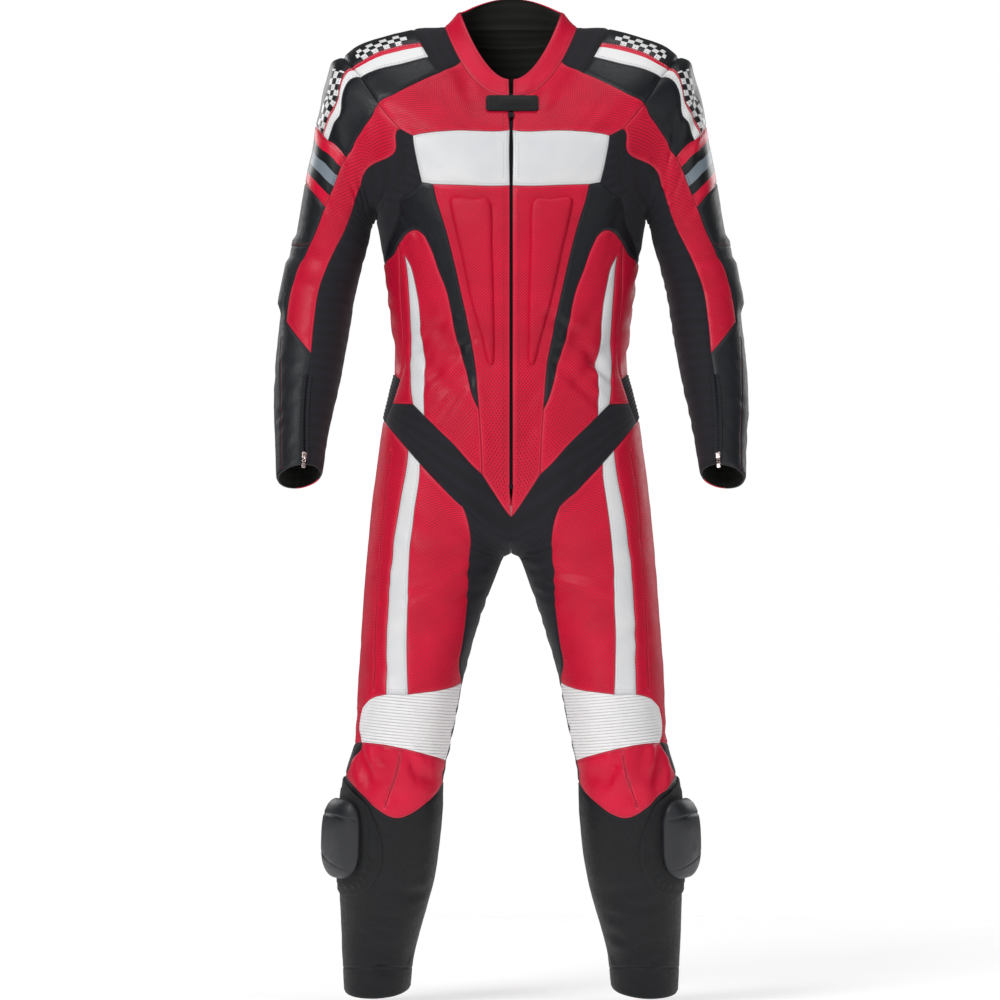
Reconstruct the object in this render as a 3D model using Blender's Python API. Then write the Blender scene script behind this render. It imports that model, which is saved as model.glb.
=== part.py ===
"""One-piece leather motorcycle race suit, filled out as it is worn, with open neck, cuffs and hems.

The suit is a hollow wall of cut panels. Three tables of sections give its form: the torso with its collar,
a sleeve and a leg. A section is a ring, and a place on the form is a row (which ring) and a turn (how far
round it, in degrees: 0 front, 90 outer side, 180 back, 270 inner side). Seams are short lists of places,
and a panel is the cloth inside a loop of seams. Tables are in millimetres, with z up from the neck base,
the front facing -Y, and +X the wearer's left. The right side mirrors the left.
"""
import math

import bpy
import numpy as np
from mathutils import Vector
from mathutils.geometry import delaunay_2d_cdt
from mathutils.kdtree import KDTree

# Driving sizes in millimetres
MM = 0.001
WALL = 2.5
SEAM_GAP = 0.3
SEAM_STEP = 27.0
ARMHOLE_STEP = 22.0
STEP_ROUND = 26.0
STEP_ALONG = 40.0
ZIP_HALF_GAP = 2.2
PAD_RISE = 5.0
PAD_SLOPE = 7.0
RIB_RISE = 1.5
RIB_RUN_OUT = 0.2
FRONT = 1
BACK = -1

# Torso sections from the collar's rim down to the belt line
# half_width, z_side, fore, z_front, aft, z_back, square, vee, y, dip
TORSO = np.array([
    (76, 72, 66, -31, 66, 96, 2.0, 2.0, 12, 0),
    (98, 50, 82, -56, 82, 52, 2.0, 2.5, 12, 0),
    (138, 47, 101, -84, 97, 24, 2.1, 2.2, 8, 0),
    (188, 34, 114, -108, 108, -12, 2.2, 2.0, 5, 0),
    (232, 16, 121, -134, 115, -51, 2.3, 2.0, 1, 0),
    (251, -14, 126, -160, 122, -92, 2.3, 2.0, -1, 0),
    (240, -84, 130, -192, 126, -138, 2.3, 2.0, -2, 0),
    (221, -155, 132, -222, 128, -184, 2.3, 2.0, -2, 0),
    (205, -208, 133, -250, 127, -222, 2.3, 2.0, -2, 0),
    (195, -252, 132, -278, 125, -256, 2.3, 2.0, -1, 0),
    (187, -298, 129, -318, 121, -300, 2.3, 2.0, 0, 0),
    (181, -350, 123, -362, 114, -350, 2.3, 2.0, 1, 0),
    (174, -402, 117, -410, 107, -402, 2.3, 2.0, 2, 0),
    (170, -450, 114, -456, 103, -450, 2.3, 2.0, 3, 0),
    (178, -488, 115, -512, 107, -490, 2.3, 1.8, 3, 0),
    (183, -508, 116, -575, 114, -542, 2.3, 1.55, 3, 4),
    (186, -520, 116, -642, 119, -600, 2.3, 1.4, 3, 18),
    (188, -530, 114, -708, 121, -655, 2.3, 1.3, 4, 34),
], float)
RIM_ROW = 0
NECK_ROW = 1
BELT_ROW = len(TORSO) - 1
DIP_HALF_WIDTH = 75.0

# Sleeve sections below the armhole: outer point, inner point, y of the centre, depth fore and aft
# outer_x, outer_z, inner_x, inner_z, y, fore, aft, square
SLEEVE = np.array([
    (266, -8, 201, -241, 4, 76, 80, 2.2),
    (280, -60, 202, -243, 4, 73, 78, 2.2),
    (291, -122, 204, -246, 5, 70, 75, 2.2),
    (304, -188, 206, -251, 7, 67, 72, 2.2),
    (313, -242, 209, -268, 10, 64, 70, 2.2),
    (325, -298, 219, -304, 11, 61, 68, 2.2),
    (334, -345, 229, -346, 8, 58, 63, 2.1),
    (341, -400, 237, -394, -4, 55, 58, 2.1),
    (346, -460, 247, -454, -24, 52, 54, 2.1),
    (347, -520, 259, -512, -47, 48, 49, 2.0),
    (344, -572, 269, -562, -69, 42, 42, 2.0),
    (342, -618, 275, -607, -93, 37, 37, 2.0),
], float)
CUFF_ROW = len(SLEEVE)

# Leg sections below the belt line, with the same columns
LEG = np.array([
    (209, -700, 15, -738, 4, 100, 114, 2.2),
    (216, -780, 37, -796, 0, 98, 106, 2.2),
    (220, -850, 58, -863, -9, 92, 96, 2.2),
    (224, -905, 72, -918, -20, 87, 88, 2.1),
    (226, -960, 82, -970, -31, 83, 81, 2.1),
    (229, -1002, 90, -1008, -37, 83, 77, 2.1),
    (242, -1048, 98, -1050, -36, 82, 76, 2.1),
    (249, -1102, 100, -1102, -26, 76, 79, 2.1),
    (252, -1160, 105, -1158, -9, 70, 81, 2.0),
    (252, -1215, 115, -1213, 9, 64, 76, 2.0),
    (251, -1265, 129, -1263, 26, 59, 67, 2.0),
    (249, -1318, 142, -1313, 42, 54, 59, 2.0),
    (247, -1371, 148, -1365, 56, 51, 54, 2.0),
], float)
HEM_ROW = len(LEG)

# Armhole: turn round the sleeve, and the place on the torso as x, z and the face it lies on
ARMHOLE = (
    (8, 162, -107, FRONT),
    (30, 194, -69, FRONT),
    (55, 220, -29, FRONT),
    (70, 233, -14, FRONT),
    (90, 246, 3, BACK),
    (110, 239, -9, BACK),
    (135, 214, -38, BACK),
    (155, 190, -75, BACK),
    (180, 170, -120, BACK),
    (205, 172, -165, BACK),
    (232, 182, -208, BACK),
    (270, 198, -235, FRONT),
    (315, 172, -200, FRONT),
    (345, 158, -152, FRONT),
)

# Crotch curve at the middle of the body, as (y, z): front end, pull and back end
CROTCH_PULL = (34.0, -762.0)
LEG_TURN_AT_FRONT = -60.0
LEG_TURN_SPAN = 300.0

# Folds of the leather: limb, ends as x and z on the front, half-width and depth
FOLDS = (
    ("torso", (60, -470), (150, -330), 11, -4.0),
    ("torso", (75, -505), (160, -400), 10, -4.5),
    ("torso", (18, -520), (44, -470), 8, -3.0),
    ("torso", (15, -575), (42, -520), 8, -3.0),
    ("torso", (110, -118), (185, -84), 9, -3.5),
    ("sleeve", (255, -300), (330, -285), 10, -4.0),
    ("sleeve", (262, -345), (325, -325), 9, -3.0),
    ("leg", (120, -1060), (150, -1030), 11, -4.5),
    ("leg", (175, -1060), (215, -1035), 10, -4.5),
    ("leg", (150, -1085), (185, -1070), 9, -3.5),
    ("leg", (130, -1330), (235, -1300), 10, -3.0),
    ("leg", (125, -1230), (200, -1210), 10, -2.5),
)

# Finishes: colour, roughness and metallic
RED = ((0.62, 0.012, 0.032), 0.45, 0.0)
BLACK = ((0.022, 0.026, 0.029), 0.5, 0.0)
WHITE = ((0.82, 0.82, 0.82), 0.42, 0.0)
STRETCH = ((0.006, 0.008, 0.014), 0.85, 0.0)
RIBBED_WHITE = ((0.78, 0.76, 0.77), 0.5, 0.0)
GREY = ((0.16, 0.19, 0.22), 0.35, 0.0)
PILE = ((0.004, 0.004, 0.005), 0.9, 0.0)
HARD = ((0.03, 0.035, 0.042), 0.3, 0.0)
METAL = ((0.72, 0.66, 0.66), 0.3, 1.0)


# Form of the suit
def through(table, row):
    """The table's columns at a fractional row, on a smooth curve through the rows."""
    table = np.asarray(table, float)
    last = len(table) - 1
    row = np.clip(np.asarray(row, float), 0, last)
    lower = np.minimum(row.astype(int), last - 1)
    part = (row - lower)[..., None]
    start = table[lower]
    end = table[lower + 1]
    before = table[np.maximum(lower - 1, 0)]
    after = table[np.minimum(lower + 2, last)]
    slope_start = np.where((lower > 0)[..., None], (end - before) / 2, end - start)
    slope_end = np.where((lower < last - 1)[..., None], (after - start) / 2, end - start)
    square = part ** 2
    cube = part ** 3
    return (
        start * (2 * cube - 3 * square + 1)
        + slope_start * (cube - 2 * square + part)
        + end * (3 * square - 2 * cube)
        + slope_end * (cube - square)
    )


def swing(turn, square):
    """Sideways and forward parts of a rounded-square ring at this turn."""
    angle = np.radians(turn)
    power = 2 / square
    side = np.sin(angle)
    fore = np.cos(angle)
    return np.sign(side) * np.abs(side) ** power, np.sign(fore) * np.abs(fore) ** power


def torso(row, turn):
    half, z_side, fore, z_front, aft, z_back, square, vee, y, dip = np.moveaxis(through(TORSO, row), -1, 0)
    side, ahead = swing(turn, square)
    facing_front = ahead > 0
    x = half * side
    notch = np.clip(1 - (x / DIP_HALF_WIDTH) ** 2, 0, 1) ** 2
    depth = np.where(facing_front, fore, aft)
    drop = np.where(facing_front, z_front, z_back) - z_side
    power = np.where(facing_front, vee, 2.0)
    z = z_side + drop * (1 - np.abs(side) ** power)
    return np.stack([x, y - depth * ahead + np.sign(ahead) * dip * notch, z], -1)


def tube(table, row, turn):
    """A place on a sleeve or a leg, whose rings stand square to its middle line."""
    here = through(table, row)
    ahead = through(table, row + 0.25)
    behind = through(table, row - 0.25)
    outer = np.stack([here[..., 0], 0 * here[..., 0], here[..., 1]], -1)
    inner = np.stack([here[..., 2], 0 * here[..., 0], here[..., 3]], -1)
    width = np.linalg.norm(outer - inner, axis=-1, keepdims=True)
    across = (outer - inner) / width
    down = np.stack([across[..., 2], 0 * across[..., 0], -across[..., 0]], -1)
    moved = ahead - behind
    run = (moved[..., 0] + moved[..., 2]) / 2 * down[..., 0] + (moved[..., 1] + moved[..., 3]) / 2 * down[..., 2]
    pitch = np.arctan2(moved[..., 4], np.maximum(run, 1.0))[..., None]
    forward = down * np.sin(pitch) + np.array([0.0, -1.0, 0.0]) * np.cos(pitch)
    side, fore = swing(turn, here[..., 7])
    depth = np.where(fore > 0, here[..., 5], here[..., 6])
    middle = (outer + inner) / 2
    middle[..., 1] += here[..., 4]
    return middle + across * width / 2 * side[..., None] + forward * (depth * fore)[..., None]


def joined_tube(table, start, row, turn, pull):
    """A tube whose first stretch runs from a ring of places on the torso to its table's first section."""
    row, turn = np.broadcast_arrays(np.asarray(row, float), np.asarray(turn, float))
    below = tube(table, np.maximum(row - 1, 0), turn)
    first = tube(table, np.zeros_like(row), turn)
    next_one = tube(table, np.full_like(row, 0.2), turn)
    ring = start(turn)
    reach = np.linalg.norm(first - ring, axis=-1, keepdims=True)
    heading = next_one - first
    heading = heading / np.maximum(np.linalg.norm(heading, axis=-1, keepdims=True), 1e-6)
    middle = first - heading * reach * pull
    part = np.clip(row, 0, 1)[..., None]
    bend = ring * (1 - part) ** 2 + middle * 2 * part * (1 - part) + first * part ** 2
    return np.where((row < 1)[..., None], bend, below)


def armhole_place(turn):
    """Row and turn on the torso of the armhole's edge, at this turn of the sleeve."""
    turn = np.mod(np.asarray(turn, float) - ARMHOLE[0][0], 360) + ARMHOLE[0][0]
    index = np.interp(turn, ARMHOLE_TURNS, np.arange(len(ARMHOLE_TURNS)))
    return through(ARMHOLE_PLACES, index)


def armhole_ring(turn):
    place = armhole_place(turn)
    return torso(place[..., 0], place[..., 1])


def torso_turn_of_leg(turn):
    return (turn - LEG_TURN_AT_FRONT) / LEG_TURN_SPAN * 180


def leg_turn_of_torso(turn):
    return LEG_TURN_AT_FRONT + turn / 180 * LEG_TURN_SPAN


def leg_ring(turn):
    """The leg opening: the belt line round the hip, then the crotch curve back to the front."""
    turn = np.mod(np.asarray(turn, float) - LEG_TURN_AT_FRONT, 360) + LEG_TURN_AT_FRONT
    round_hip = torso(np.full_like(turn, BELT_ROW), np.clip(torso_turn_of_leg(turn), 0, 180))
    front = torso(float(BELT_ROW), 0.0)
    back = torso(float(BELT_ROW), 180.0)
    pull = np.array([0.0, *CROTCH_PULL])
    part = np.clip((turn - LEG_TURN_AT_FRONT - LEG_TURN_SPAN) / (360 - LEG_TURN_SPAN), 0, 1)[..., None]
    crotch = back * (1 - part) ** 2 + pull * 2 * part * (1 - part) + front * part ** 2
    return np.where(part > 0, crotch, round_hip)


def sleeve(row, turn):
    return joined_tube(SLEEVE, armhole_ring, row, turn, 0.45)


def leg(row, turn):
    return joined_tube(LEG, leg_ring, row, turn, 0.4)


LIMBS = {"torso": torso, "sleeve": sleeve, "leg": leg}
LAST_ROW = {"torso": BELT_ROW, "sleeve": CUFF_ROW, "leg": HEM_ROW}
GRIDS = {}
LENGTHS = {}


def chart(limb):
    """A grid of places, used to find a place by its x and z, and the length along the limb at each row."""
    rows = np.linspace(0, LAST_ROW[limb], LAST_ROW[limb] * 8 + 1)
    turns = np.linspace(-180, 180, 181)
    row, turn = np.meshgrid(rows, turns, indexing="ij")
    spots = LIMBS[limb](row, turn)
    GRIDS[limb] = (row, turn, spots)
    steps = np.linalg.norm(np.diff(spots, axis=0), axis=-1).mean(axis=1)
    LENGTHS[limb] = (rows, np.concatenate([[0], np.cumsum(steps)]))


def place(limb, x, z, face=FRONT):
    """Row and turn of the point of the limb's front or back that lies at x and z."""
    row, turn, spots = GRIDS[limb]
    miss = (spots[..., 0] - x) ** 2 + (spots[..., 2] - z) ** 2
    miss = miss + np.where(np.cos(np.radians(turn)) * face > -0.02, 0, 1e6)
    best = np.unravel_index(np.argmin(miss), miss.shape)
    spot = np.array([row[best], turn[best]])
    small = 1e-3
    for _ in range(12):
        here = LIMBS[limb](spot[0], spot[1])[[0, 2]]
        by_row = (LIMBS[limb](spot[0] + small, spot[1])[[0, 2]] - here) / small
        by_turn = (LIMBS[limb](spot[0], spot[1] + small)[[0, 2]] - here) / small
        slope = np.stack([by_row, by_turn], 1)
        wanted = np.array([x, z]) - here
        damp = np.diag([4.0, 0.002])
        spot = spot + np.linalg.solve(slope.T @ slope + damp, slope.T @ wanted)
        spot[0] = min(max(spot[0], 0), LAST_ROW[limb] - 2 * small)
    return spot


def level(limb, turn, z):
    """Row and turn of the point at this turn and height."""
    rows = np.linspace(0, LAST_ROW[limb], 400)
    heights = LIMBS[limb](rows, np.full_like(rows, turn))[:, 2]
    return np.array([rows[np.argmin(np.abs(heights - z))], float(turn)])


def direction_out(limb, row, turn):
    """Unit direction out of the wall."""
    small = 0.02
    surface = LIMBS[limb]
    row = np.clip(row, small, LAST_ROW[limb] - small)
    by_row = surface(row + small, turn) - surface(row - small, turn)
    by_turn = surface(row, turn + 1) - surface(row, turn - 1)
    out = np.cross(by_row, by_turn)
    return out / np.maximum(np.linalg.norm(out, axis=-1, keepdims=True), 1e-9)


def fold_depth(limb, spots):
    """How far the folds move the wall in or out at these points of its front."""
    moved = np.zeros(len(spots))
    for where, start, end, half_width, depth in FOLDS:
        if where != limb:
            continue
        start = np.array(start, float)
        along = np.array(end, float) - start
        flat = np.stack([np.abs(spots[:, 0]), spots[:, 2]], 1) - start
        part = np.clip(flat @ along / (along @ along), 0, 1)
        away = np.linalg.norm(flat - part[:, None] * along, axis=1)
        fade = np.sin(np.pi * np.clip(part, 0.02, 0.98))
        on_front = spots[:, 1] < 20
        moved += np.where(on_front, depth * fade * np.exp(-(away / half_width) ** 2), 0)
    return moved


# Seams
SEAMS = {}
NODES = {}


def run(limb, places, step=SEAM_STEP, smooth=True, count=None):
    """Places a step apart on a curve through these places, or as many stretches of it as are asked for."""
    places = np.array(places, float)
    fine = np.linspace(0, len(places) - 1, 24 * (len(places) - 1) + 1)
    if smooth:
        curve = through(places, fine)
    else:
        curve = np.stack([np.interp(fine, np.arange(len(places)), places[:, k]) for k in (0, 1)], 1)
    spots = LIMBS[limb](curve[:, 0], curve[:, 1])
    length = np.concatenate([[0], np.cumsum(np.linalg.norm(np.diff(spots, axis=0), axis=1))])
    count = count or max(1, math.ceil(length[-1] / step))
    wanted = np.linspace(0, length[-1], count + 1)
    sampled = np.stack([np.interp(wanted, length, curve[:, k]) for k in (0, 1)], 1)
    sampled[0] = places[0]
    sampled[-1] = places[-1]
    return sampled


def seam(name, limb, start, between, end, smooth=True, count=None):
    """A seam from node to node. Each place between is x and z on the front, or has its own row and turn."""
    places = [NODES[limb, start]]
    for spot in between:
        places.append(spot if isinstance(spot, np.ndarray) else place(limb, *spot))
    places.append(NODES[limb, end])
    SEAMS[limb, name] = run(limb, places, SEAM_STEP, smooth, count)


def node(name, limb, spot):
    NODES[limb, name] = np.array(spot, float)


def loop(limb, *names):
    """Places once round the panel. A name that starts with a minus sign is a seam run backwards."""
    places = []
    for name in names:
        samples = SEAMS[limb, name.lstrip("-")]
        places.extend((samples[::-1] if name.startswith("-") else samples)[:-1])
    return np.array(places)


def turned(limb, name, degrees, new_name):
    """The same seam, counted a full turn further round, for a panel on its other side."""
    SEAMS[limb, new_name] = SEAMS[limb, name] + np.array([0.0, degrees])


# Panels
PANELS = []


def flat_places(limb, places):
    """Places as millimetres on a flat sheet: round the limb and along it."""
    rows, lengths = LENGTHS[limb]
    radius = {"torso": 150.0, "sleeve": 58.0, "leg": 88.0}[limb]
    across = np.radians(places[:, 1]) * radius
    return np.stack([across, np.interp(places[:, 0], rows, lengths)], 1)


def places_of_flat(limb, flat):
    rows, lengths = LENGTHS[limb]
    radius = {"torso": 150.0, "sleeve": 58.0, "leg": 88.0}[limb]
    return np.stack([np.interp(flat[:, 1], lengths, rows), np.degrees(flat[:, 0] / radius)], 1)


def edge_distance(points, outline):
    """Distance of each point from a closed outline, and whether it is inside."""
    start = outline
    end = np.roll(outline, -1, axis=0)
    along = end - start
    span = np.maximum((along ** 2).sum(1), 1e-12)
    part = np.clip(((points[:, None] - start) * along).sum(2) / span, 0, 1)
    nearest = start + part[..., None] * along
    away = np.linalg.norm(points[:, None] - nearest, axis=2).min(1)
    crosses = (start[:, 1] > points[:, None, 1]) != (end[:, 1] > points[:, None, 1])
    rise = np.where(np.abs(along[:, 1]) < 1e-12, 1e-12, along[:, 1])
    x_there = start[:, 0] + (points[:, None, 1] - start[:, 1]) * along[:, 0] / rise
    inside = (crosses & (points[:, None, 0] < x_there)).sum(1) % 2 == 1
    return away, inside


def spread_out(spots, fixed, apart):
    """Which of these spots to keep, so that none is nearer than this to a fixed or an earlier spot."""
    kept = list(fixed)
    keep = []
    for spot in spots:
        keep.append(np.linalg.norm(np.array(kept) - spot, axis=1).min() > apart)
        if keep[-1]:
            kept.append(spot)
    return np.array(keep, bool)


def triangles(limb, outline, step_round, step_along, ridges=()):
    """Points and triangles inside a flat outline. Ridges are closed outlines kept as edges."""
    low = outline.min(0)
    high = outline.max(0)
    across = np.arange(low[0] + step_round / 2, high[0], step_round)
    down = np.arange(low[1] + step_along / 2, high[1], step_along)
    grid = [(x + (k % 2) * step_round / 2, y) for k, y in enumerate(down) for x in across]
    grid = np.array(grid) if grid else np.zeros((0, 2))
    for edge in (outline, *ridges):
        if len(grid) == 0:
            break
        away, inside = edge_distance(grid, edge)
        keep = away > 0.42 * step_round
        if edge is outline:
            keep &= inside
        grid = grid[keep]
    if len(grid):
        own = places_of_flat(limb, grid)
        edge = places_of_flat(limb, np.concatenate([outline, *ridges]))
        spots = LIMBS[limb](own[:, 0], own[:, 1])
        grid = grid[spread_out(spots, LIMBS[limb](edge[:, 0], edge[:, 1]), 0.4 * step_round)]
    parts = [outline, *ridges]
    points = np.concatenate([*parts, grid])
    edges = []
    first = 0
    for part in parts:
        count = len(part)
        edges += [(first + k, first + (k + 1) % count) for k in range(count)]
        first += count
    result = delaunay_2d_cdt([Vector(p) for p in points], edges, [], 1, 1e-5)
    origin = [sources[0] for sources in result[3]]
    faces = [[origin[k] for k in face] for face in result[2]]
    return points, faces


def sheet(limb, places, ridges=(), step_round=STEP_ROUND, step_along=STEP_ALONG):
    """A patch of a panel: its places, with the triangles between them."""
    outline = flat_places(limb, places)
    flat_ridges = [flat_places(limb, ridge) for ridge in ridges]
    points, faces = triangles(limb, outline, step_round, step_along, flat_ridges)
    found = places_of_flat(limb, points)
    found[: len(places)] = places
    return {"limb": limb, "places": found, "faces": faces}


def patch_inside(patch, outline):
    """The part of a patch inside one of its kept outlines, for a piece that lies on it."""
    flat = flat_places(patch["limb"], patch["places"])
    middles = np.array([flat[face].mean(0) for face in patch["faces"]])
    inside = edge_distance(middles, flat_places(patch["limb"], outline))[1]
    faces = [face for face, kept in zip(patch["faces"], inside) if kept]
    return {"limb": patch["limb"], "places": patch["places"], "faces": faces}


def panel(name, finish, sheets, side, lift=None, under=None):
    """Notes a panel of the suit. lift gives each point's rise over the wall, under the level of a piece laid on it."""
    PANELS.append({"name": name, "finish": finish, "sheets": sheets, "side": side, "lift": lift, "under": under})


def both_sides(name, finish, sheets, lift=None, under=None):
    panel(name + "_left", finish, sheets, 1, lift, under)
    panel(name + "_right", finish, sheets, -1, lift, under)


def gather(piece):
    """The panel's points, directions out and triangles, with patches joined where they share points."""
    spots, outs, lifts, faces, limb_of = [], [], [], [], {}
    for patch in piece["sheets"]:
        limb = patch["limb"]
        places = patch["places"]
        here = LIMBS[limb](places[:, 0], places[:, 1])
        out = direction_out(limb, places[:, 0], places[:, 1])
        lift = np.zeros(len(here)) if piece["lift"] is None else piece["lift"](limb, places, here)
        own = []
        earlier = np.array(spots)
        for spot, way, rise in zip(here, out, lift):
            same = []
            if len(earlier):
                same = np.flatnonzero(np.linalg.norm(earlier - spot, axis=1) < SAME_POINT)
            if len(same):
                own.append(int(same[0]))
                outs[own[-1]] = outs[own[-1]] + way
            else:
                own.append(len(spots))
                limb_of[len(spots)] = limb
                spots.append(spot)
                outs.append(way)
                lifts.append(rise)
        corners = here[np.array(patch["faces"])]
        facing = np.cross(corners[:, 1] - corners[:, 0], corners[:, 2] - corners[:, 0])
        agree = (facing * out[np.array(patch["faces"])].sum(1)).sum() > 0
        faces += [[own[k] for k in (face if agree else face[::-1])] for face in patch["faces"]]
    spots = np.array(spots)
    outs = np.array(outs)
    outs /= np.linalg.norm(outs, axis=1, keepdims=True)
    used = np.unique(faces)
    renumber = {int(old): new for new, old in enumerate(used)}
    faces = np.array([[renumber[k] for k in face] for face in faces])
    limb_of = {renumber[k]: limb_of[k] for k in renumber}
    spots = spots[used]
    outs = outs[used]
    if piece["side"] < 0:
        spots = spots * [-1, 1, 1]
        outs = outs * [-1, 1, 1]
        faces = faces[:, ::-1]
    piece.update(spots=spots, outs=outs, rises=np.array(lifts)[used], triangles=faces, limb_of=limb_of)


def rim_edges(faces):
    """Directed edges that one triangle alone has, as a map from start to end."""
    pairs = {}
    for a, b, c in faces:
        for start, end in ((a, b), (b, c), (c, a)):
            pairs[start, end] = True
    return {start: end for start, end in pairs if (end, start) not in pairs}


SAME_POINT = 0.05
RIM_POINTS = []


def note_rim(spot, out):
    RIM_POINTS.append((spot, out))


def shared_directions():
    """A lookup of the mean direction of all panels that meet at a seam's point."""
    tree = KDTree(len(RIM_POINTS))
    for index, (spot, _) in enumerate(RIM_POINTS):
        tree.insert(Vector(spot), index)
    tree.balance()

    def direction_at(spot):
        found = sum(RIM_POINTS[index][1] for _, index, _ in tree.find_range(Vector(spot), SAME_POINT))
        return found / np.linalg.norm(found)

    return direction_at


def wall_between(faces, rim, spots, count):
    """Adds a panel's edge. Both panels of a seam split it along the same line."""
    def order(k):
        return tuple(np.round(spots[k] * [0, 1, 1], 1)) + (round(abs(spots[k][0]), 1),)

    for start, end in rim.items():
        if order(start) < order(end):
            faces += [(end, start, end + count), (start, start + count, end + count)]
        else:
            faces += [(end, start, start + count), (end, start + count, end + count)]


def make(piece, direction_at):
    spots = piece["spots"]
    outs = piece["outs"].copy()
    rim = piece["rim"]
    before = {end: start for start, end in rim.items()}
    limb_of = piece["limb_of"]
    if piece["under"] is None:
        for k in rim:
            outs[k] = direction_at(spots[k])
    plain = spots.copy()
    for limb in set(limb_of.values()):
        mine = np.array([k for k in range(len(spots)) if limb_of[k] == limb])
        spots[mine] += outs[mine] * fold_depth(limb, spots[mine])[:, None]
    inset = np.zeros_like(spots)
    for k, after in rim.items():
        ahead = spots[after] - spots[k]
        behind = spots[k] - spots[before[k]]
        left = [np.cross(outs[k], way) for way in (ahead, behind)]
        left = [way / max(np.linalg.norm(way), 1e-9) for way in left]
        inset[k] = (left[0] + left[1]) / max(1 + left[0] @ left[1], 0.35) * SEAM_GAP / 2
    base = spots + inset
    outer = base + outs * piece["rises"][:, None]
    inner = base - outs * WALL if piece["under"] is None else base + outs * piece["under"]
    count = len(spots)
    faces = [tuple(face) for face in piece["triangles"]]
    faces += [tuple(count + k for k in face[::-1]) for face in piece["triangles"]]
    wall_between(faces, rim, plain, count)
    add_object(piece["name"], np.concatenate([outer, inner]), faces, piece["finish"])


def material(name, finish):
    colour, roughness, metallic = finish
    made = bpy.data.materials.new(name)
    made.use_nodes = True
    shader = made.node_tree.nodes["Principled BSDF"]
    shader.inputs["Base Color"].default_value = (*colour, 1)
    shader.inputs["Roughness"].default_value = roughness
    shader.inputs["Metallic"].default_value = metallic
    return made


def add_object(name, points, faces, finish, origin=(0, 0, 0)):
    """One closed body. Points are in millimetres, and the object's own origin may be a joint's axis."""
    origin = np.array(origin, float)
    mesh = bpy.data.meshes.new(name)
    mesh.from_pydata([tuple(p) for p in (np.asarray(points) - origin) * MM], [], faces)
    mesh.shade_smooth()
    mesh.set_sharp_from_angle(angle=math.radians(40))
    mesh.materials.append(material(name + "_finish", finish))
    made = bpy.data.objects.new(name, mesh)
    made.location = origin * MM
    bpy.context.scene.collection.objects.link(made)
    return made


def ribbed_panel(name, finish, limb, top, bottom, near, far, ribs_each, side):
    """A panel of raised ribs inside four seams, with a plain inside."""
    down = np.linspace(0, 1, len(near))[:, None, None]
    across = np.linspace(0, 1, len(top))[None, :, None]
    corners = (top[0] * (1 - across) + top[-1] * across) * (1 - down)
    corners = corners + (bottom[0] * (1 - across) + bottom[-1] * across) * down
    places = top[None] * (1 - down) + bottom[None] * down - corners
    places = places + near[:, None] * (1 - across) + far[:, None] * across
    spots = LIMBS[limb](places[..., 0], places[..., 1])
    outs = direction_out(limb, places[..., 0], places[..., 1])
    PANELS.append({
        "name": name, "finish": finish, "side": side, "ribs_each": ribs_each, "limb": limb,
        "grid": spots * [side, 1, 1], "grid_outs": outs * [side, 1, 1],
    })


def on_edge(shape, j, k):
    return j in (0, shape[0] - 1) or k in (0, shape[1] - 1)


def with_narrow_ends(grid):
    """The grid with one more column beside each end, where the ribs run out."""
    near = grid[:, :1] * (1 - RIB_RUN_OUT) + grid[:, 1:2] * RIB_RUN_OUT
    far = grid[:, -1:] * (1 - RIB_RUN_OUT) + grid[:, -2:-1] * RIB_RUN_OUT
    return np.concatenate([grid[:, :1], near, grid[:, 1:-1], far, grid[:, -1:]], 1)


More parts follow.
